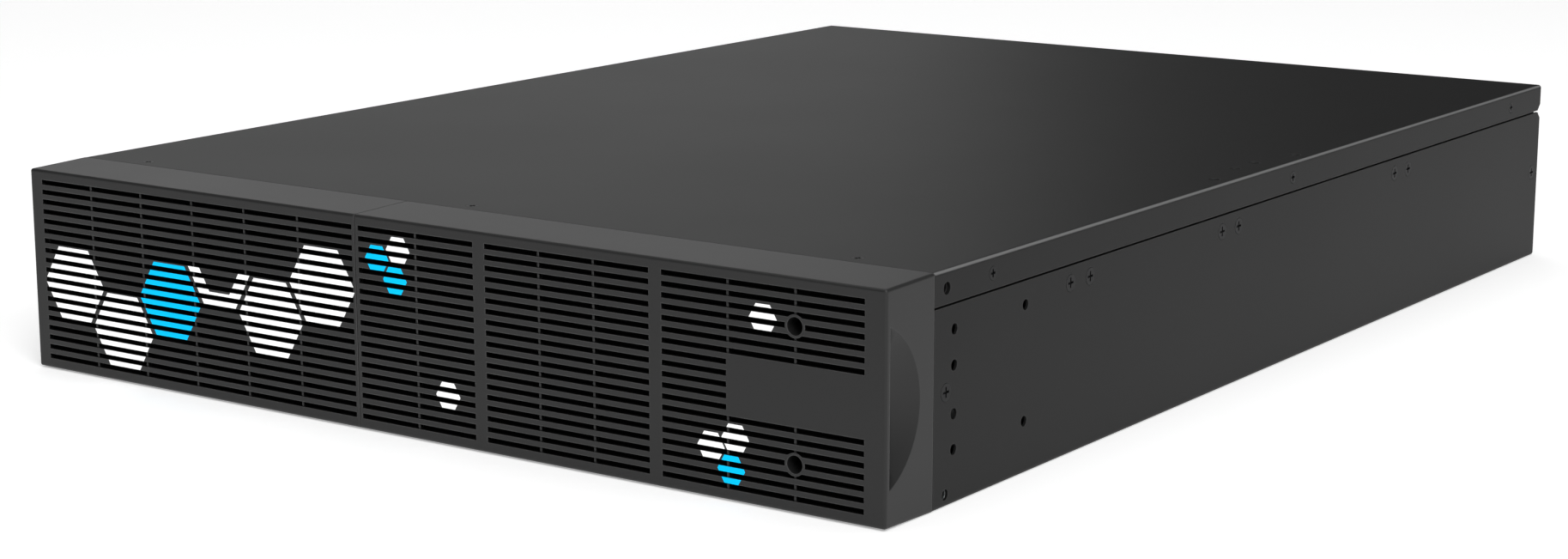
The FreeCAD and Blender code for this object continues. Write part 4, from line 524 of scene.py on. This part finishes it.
# Fired ceramic, unglazed: chalky off-white
ceramic = surface("ceramic_resistor", "#D8D4C8", 0.7, patch=5, tint=0.05, grain=0.15, depth=0.008,
                  edge=0.3, worn_and_highlit="#EAE6DC", wear_and_highlight=0.3)
# Nylon, moulded in its natural ivory
header_nylon = surface("header_nylon", "#E2DFD2", 0.45, patch=6, tint=0.03, grain=0.2, depth=0.003,
                       edge=0.2, worn_and_highlit="#F2F0E8", wear_and_highlight=0.2)


def brick(x, y, size, lift=0.0):
    """A block of a size that stands on the board, or a little above it, from its low corner."""
    return (x, x + size[0], y, y + size[1], BOARD_TOP + lift, BOARD_TOP + lift + size[2])


GRID_X, GRID_Y, PITCH_X, PITCH_Y = -160.0, -176.0, 27.0, 20.0
FILM, FILM_PITCH = (18, 7.5, 13), 9
RESISTOR, RESISTOR_PITCH = (16, 6, 6), 8
HEADER = (20, 7, 9)
CHIP, CHIP_LIFT = (19, 6.5, 3.4), 0.6
LEG, LEG_PITCH, LEGS = (0.5, 8.1, 2), 2.54, 7
films, resistors, headers, chips, legs = [], [], [], [], []
for column in range(4):
    for row in range(5):
        x, y = GRID_X + PITCH_X * column, GRID_Y + PITCH_Y * row
        kind = (column * 2 + row) % 4
        if kind == 0:
            films += [brick(x, y + FILM_PITCH * i, FILM) for i in (0, 1)]
        elif kind == 1:
            resistors += [brick(x, y + RESISTOR_PITCH * i, RESISTOR) for i in (0, 1)]
        elif kind == 2:
            headers.append(brick(x, y + 2, HEADER))
        else:
            chips.append(brick(x, y + 3, CHIP, CHIP_LIFT))
            legs += [brick(x + 1.2 + LEG_PITCH * i, y + 2.2, LEG) for i in range(LEGS)]
# Chips on the upright control board, then chips and film capacitors in front of the outlets
CONTROL_FACE, CONTROL_CHIP = (-84.3, -82.9), 12
chips += [(*CONTROL_FACE, y, y + CONTROL_CHIP, z, z + CONTROL_CHIP)
          for y, z in ((180, 38), (205, 30), (228, 40))]
OUTLET_PITCH = 33
OUTPUT_CHIP, OUTPUT_FILM = (14, 6, 3.4), (7, 12, 11)
chips += [brick(30 + OUTLET_PITCH * i, 234, OUTPUT_CHIP) for i in range(5)]
films += [brick(60 + OUTLET_PITCH * i, 234, OUTPUT_FILM) for i in range(4)]
chamfered("film_capacitors", films, 0.6, film_box, "case")
chamfered("ceramic_resistors", resistors, 0.4, ceramic, "case")
chamfered("board_headers", headers, 0.3, header_nylon, "case")
chamfered("board_chips", chips, 0.25, chip_epoxy, "case")
chamfered("chip_legs", legs, 0.08, tinned_brass, "case")


# ---- Fans ----
# Two 80 mm axial fans in glass-filled polyester with bright plated wire guards, screwed to the
# rear panel. The rotors turn on their own axes.

# Glass-filled polyester, moulded: black, half matt
fan_pbt = surface("fan_pbt", "#141415", 0.42, patch=15, tint=0.08, grain=0.2, depth=0.005,
                  edge=0.4, worn_and_highlit="#303032", wear_and_highlight=0.3)
# Steel wire, welded and chrome plated: nearly a mirror
guard_chrome = surface("guard_chrome", "#CDD0D2", 0.16, metal=1.0, patch=6, tint=0.05, grain=0.3,
                       depth=0.002, edge=0.1, worn_and_highlit="#E6E8EA", wear_and_highlight=0.2)
dress(fan_pbt, "fan_frames", "fan_rotor_left", "fan_rotor_right")
dress(guard_chrome, "fan_guards")
# Metallised polyester film, die-cut: a blank satin disc stuck on the motor mount of each fan
silver_film = surface("silver_film", "#A8ABAD", 0.32, metal=0.8, patch=4, tint=0.04, grain=0.3,
                      depth=0.002, edge=0.1, worn_and_highlit="#C8CACC", wear_and_highlight=0.2)
MOTOR_MOUNT_Y = 288.8
STICKER_PROFILE = [(15.0, -0.02), (15.0, 0.1), (14.8, 0.14)]
for side, fan_x in (("left", -171.8), ("right", -87.8)):
    lathe("fan_sticker_" + side, (fan_x, MOTOR_MOUNT_Y, MID_Z), STICKER_PROFILE, silver_film,
          "case")


# ---- Rear sockets, switches and ports ----
# Moulded nylon mains sockets and breakers snapped into the panel, nickel-plated signal ports,
# a green plug-in terminal, a matt power button and clear light pipes.

# Nylon, moulded: black with a low gloss
socket_nylon = surface("socket_nylon", "#101011", 0.4, patch=12, tint=0.06, grain=0.15, depth=0.004,
                       edge=0.4, worn_and_highlit="#2C2C2E", wear_and_highlight=0.3)
# ABS, moulded on a fine grain: matt charcoal
button_abs = surface("button_abs", "#1F2022", 0.48, patch=8, tint=0.06, grain=0.15, depth=0.005,
                     edge=0.3, worn_and_highlit="#404244", wear_and_highlight=0.3)
# Nickel on steel, stamped and plated: warm, clear silver
nickel = surface("nickel_shell", "#BDB9AF", 0.24, metal=1.0, patch=5, tint=0.06, grain=0.2,
                 depth=0.002, edge=0.2, worn_and_highlit="#DAD6CC", wear_and_highlight=0.3)
# Polyamide, moulded green, half matt
terminal_green = surface("terminal_green", "#167040", 0.42, patch=6, tint=0.06, grain=0.15,
                         depth=0.004, edge=0.3, worn_and_highlit="#3A9A60", wear_and_highlight=0.3)
# Polycarbonate, moulded clear: lets the light of the lamps behind it through
light_pipe = surface("light_pipe", "#E6ECEE", 0.2, patch=4, tint=0.02, grain=0.3, depth=0.002,
                     edge=0.2, worn_and_highlit="#FFFFFF", wear_and_highlight=0.2)
light_pipe.node_tree.nodes["Principled BSDF"].inputs["Transmission Weight"].default_value = 0.6
dress(socket_nylon, "small_outlets", "large_outlet", "mains_inlet", "breaker_bodies")
dress(socket_nylon, "input_breaker_button", "output_breaker_button")
dress(button_abs, "power_button", "button_housing")
dress(nickel, "serial_port", "usb_port")
dress(terminal_green, "stop_terminal")
dress(light_pipe, "status_lights")


def bent_strip(name, centre, wide, high, long, thick, material, body):
    """A contact leaf folded into a U, pinched and then opened at its mouth, along Y from its centre."""
    points, faces = [], []
    gap = wide / 2 - thick
    pinch = gap * 0.75
    # Across and along for each bend of one leaf, from the root to the flared mouth
    outline = [(-gap - thick, 0.0), (-gap - thick * 0.4, long * 0.55), (-pinch, long * 0.8),
               (-pinch - thick * 2, long)]
    for side in (-1, 1):
        for rim in (-1, 1):
            for across, along in outline:
                for x in (across, across + thick):
                    points.append((centre[0] - side * x, centre[1] + along, centre[2] + rim * high / 2))
    rows = len(outline)
    for leaf in range(2):
        first = leaf * rows * 4
        for r in range(rows - 1):
            low, top = first + 2 * r, first + 2 * rows + 2 * r
            faces += [[low, low + 2, top + 2, top], [low + 1, top + 1, top + 3, low + 3],
                      [low, low + 1, low + 3, low + 2], [top, top + 2, top + 3, top + 1]]
        near, far = first, first + 2 * rows
        faces.append([near, far, far + 1, near + 1])
        near, far = near + 2 * (rows - 1), far + 2 * (rows - 1)
        faces.append([near, near + 1, far + 1, far])
    return piece(name, points, faces, material, body)


# Phosphor bronze, stamped and sprung: reddish gold leaves inside the slots of each outlet
contact_bronze = surface("contact_bronze", "#C98F4A", 0.3, metal=1.0, patch=2, tint=0.08, grain=0.2,
                         depth=0.002, edge=0.1, worn_and_highlit="#E0B070", wear_and_highlight=0.3)
CONTACT_Y = 277.5
CONTACT_WIDE, CONTACT_HIGH, CONTACT_LONG, CONTACT_THICK = 2.0, 4.2, 12.0, 0.35
POLES = ((-7.0, -0.92), (7.0, -0.92), (0.0, 2.53))  # from the outlet's middle, in x and z
FIRST_OUTLET_X, OUTLET_ROWS = 43.7, (64.0, 36.5)
OUTLETS = [(FIRST_OUTLET_X + OUTLET_PITCH * i, z) for z in OUTLET_ROWS for i in range(4)]
for number, (x, z) in enumerate(OUTLETS, 1):
    for pole, (dx, dz) in enumerate(POLES, 1):
        bent_strip(f"outlet_{number}_contact_{pole}", (x + dx, CONTACT_Y, z + dz), CONTACT_WIDE,
                   CONTACT_HIGH, CONTACT_LONG, CONTACT_THICK, contact_bronze, "case")


# ---- Floor, lights and camera ----
# A plain pale studio floor under one broad overhead light, with a low panel to the rear left that
# rakes across the lid and a soft front fill.
FLOOR_REACH = 30  # metres each way from the middle
floor_mesh = bpy.data.meshes.new("studio_floor")
floor_mesh.from_pydata([(FLOOR_REACH * x, FLOOR_REACH * y, 0)
                        for x, y in ((-1, -1), (1, -1), (1, 1), (-1, 1))], [], [(0, 1, 2, 3)])
floor = bpy.data.objects.new("studio_floor", floor_mesh)
bpy.context.scene.collection.objects.link(floor)
# Matt white paint, lit a little by itself so that it stays an even white
FLOOR_GLOW = 0.35
floor_paint = surface("studio_floor", "#F4F4F4", 0.8, patch=900, tint=0.004, grain=4,
                      depth=0.0, edge=0.01, worn_and_highlit="#F4F4F4", wear_and_highlight=0.0, gleam=0.1)
floor_shader = floor_paint.node_tree.nodes["Principled BSDF"]
floor_shader.inputs["Emission Color"].default_value = (1, 1, 1, 1)
floor_shader.inputs["Emission Strength"].default_value = FLOOR_GLOW
floor_mesh.materials.append(floor_paint)


def softbox(name, spot, target, wide, high, power):
    """A rectangular studio light at a spot, turned to face a target, in metres and watts."""
    data = bpy.data.lights.new(name, "AREA")
    data.shape = "RECTANGLE"
    data.size, data.size_y = wide, high
    data.energy = power
    made = bpy.data.objects.new(name, data)
    made.location = spot
    made.rotation_euler = (Vector(target) - Vector(spot)).to_track_quat("-Z", "Y").to_euler()
    bpy.context.scene.collection.objects.link(made)


softbox("overhead", (0.0, 0.0, 4.0), (0.0, 0.0, 0.0), 6.0, 6.0, 120)
softbox("rear_left", (-3.29, 3.07, 1.2), (0.0, 0.0, 0.1), 2.8, 1.7, 15)
softbox("front_right", (3.0, -2.6, 2.8), (0.0, 0.0, 0.1), 3.0, 2.0, 150)

# The room itself is nearly dark, so the steel's tone comes from the three lights
world = bpy.data.worlds.new("studio")
world.use_nodes = True
backdrop = world.node_tree.nodes["Background"]
backdrop.inputs["Color"].default_value = (1, 1, 1, 1)
backdrop.inputs["Strength"].default_value = 0.06
bpy.context.scene.world = world
bpy.context.scene.view_settings.view_transform = "Standard"

# Above and in front of the right corner, 35 degrees round from the front
camera_data = bpy.data.cameras.new("camera")
camera_data.lens = 68.68
camera_data.sensor_width = 36.0
camera_data.dof.use_dof = False
camera = bpy.data.objects.new("camera", camera_data)
camera.location = (0.77021, -1.15462, 0.30202)
camera.rotation_euler = (math.radians(78.224), 0.0, math.radians(35.0))
bpy.context.scene.collection.objects.link(camera)
bpy.context.scene.camera = camera
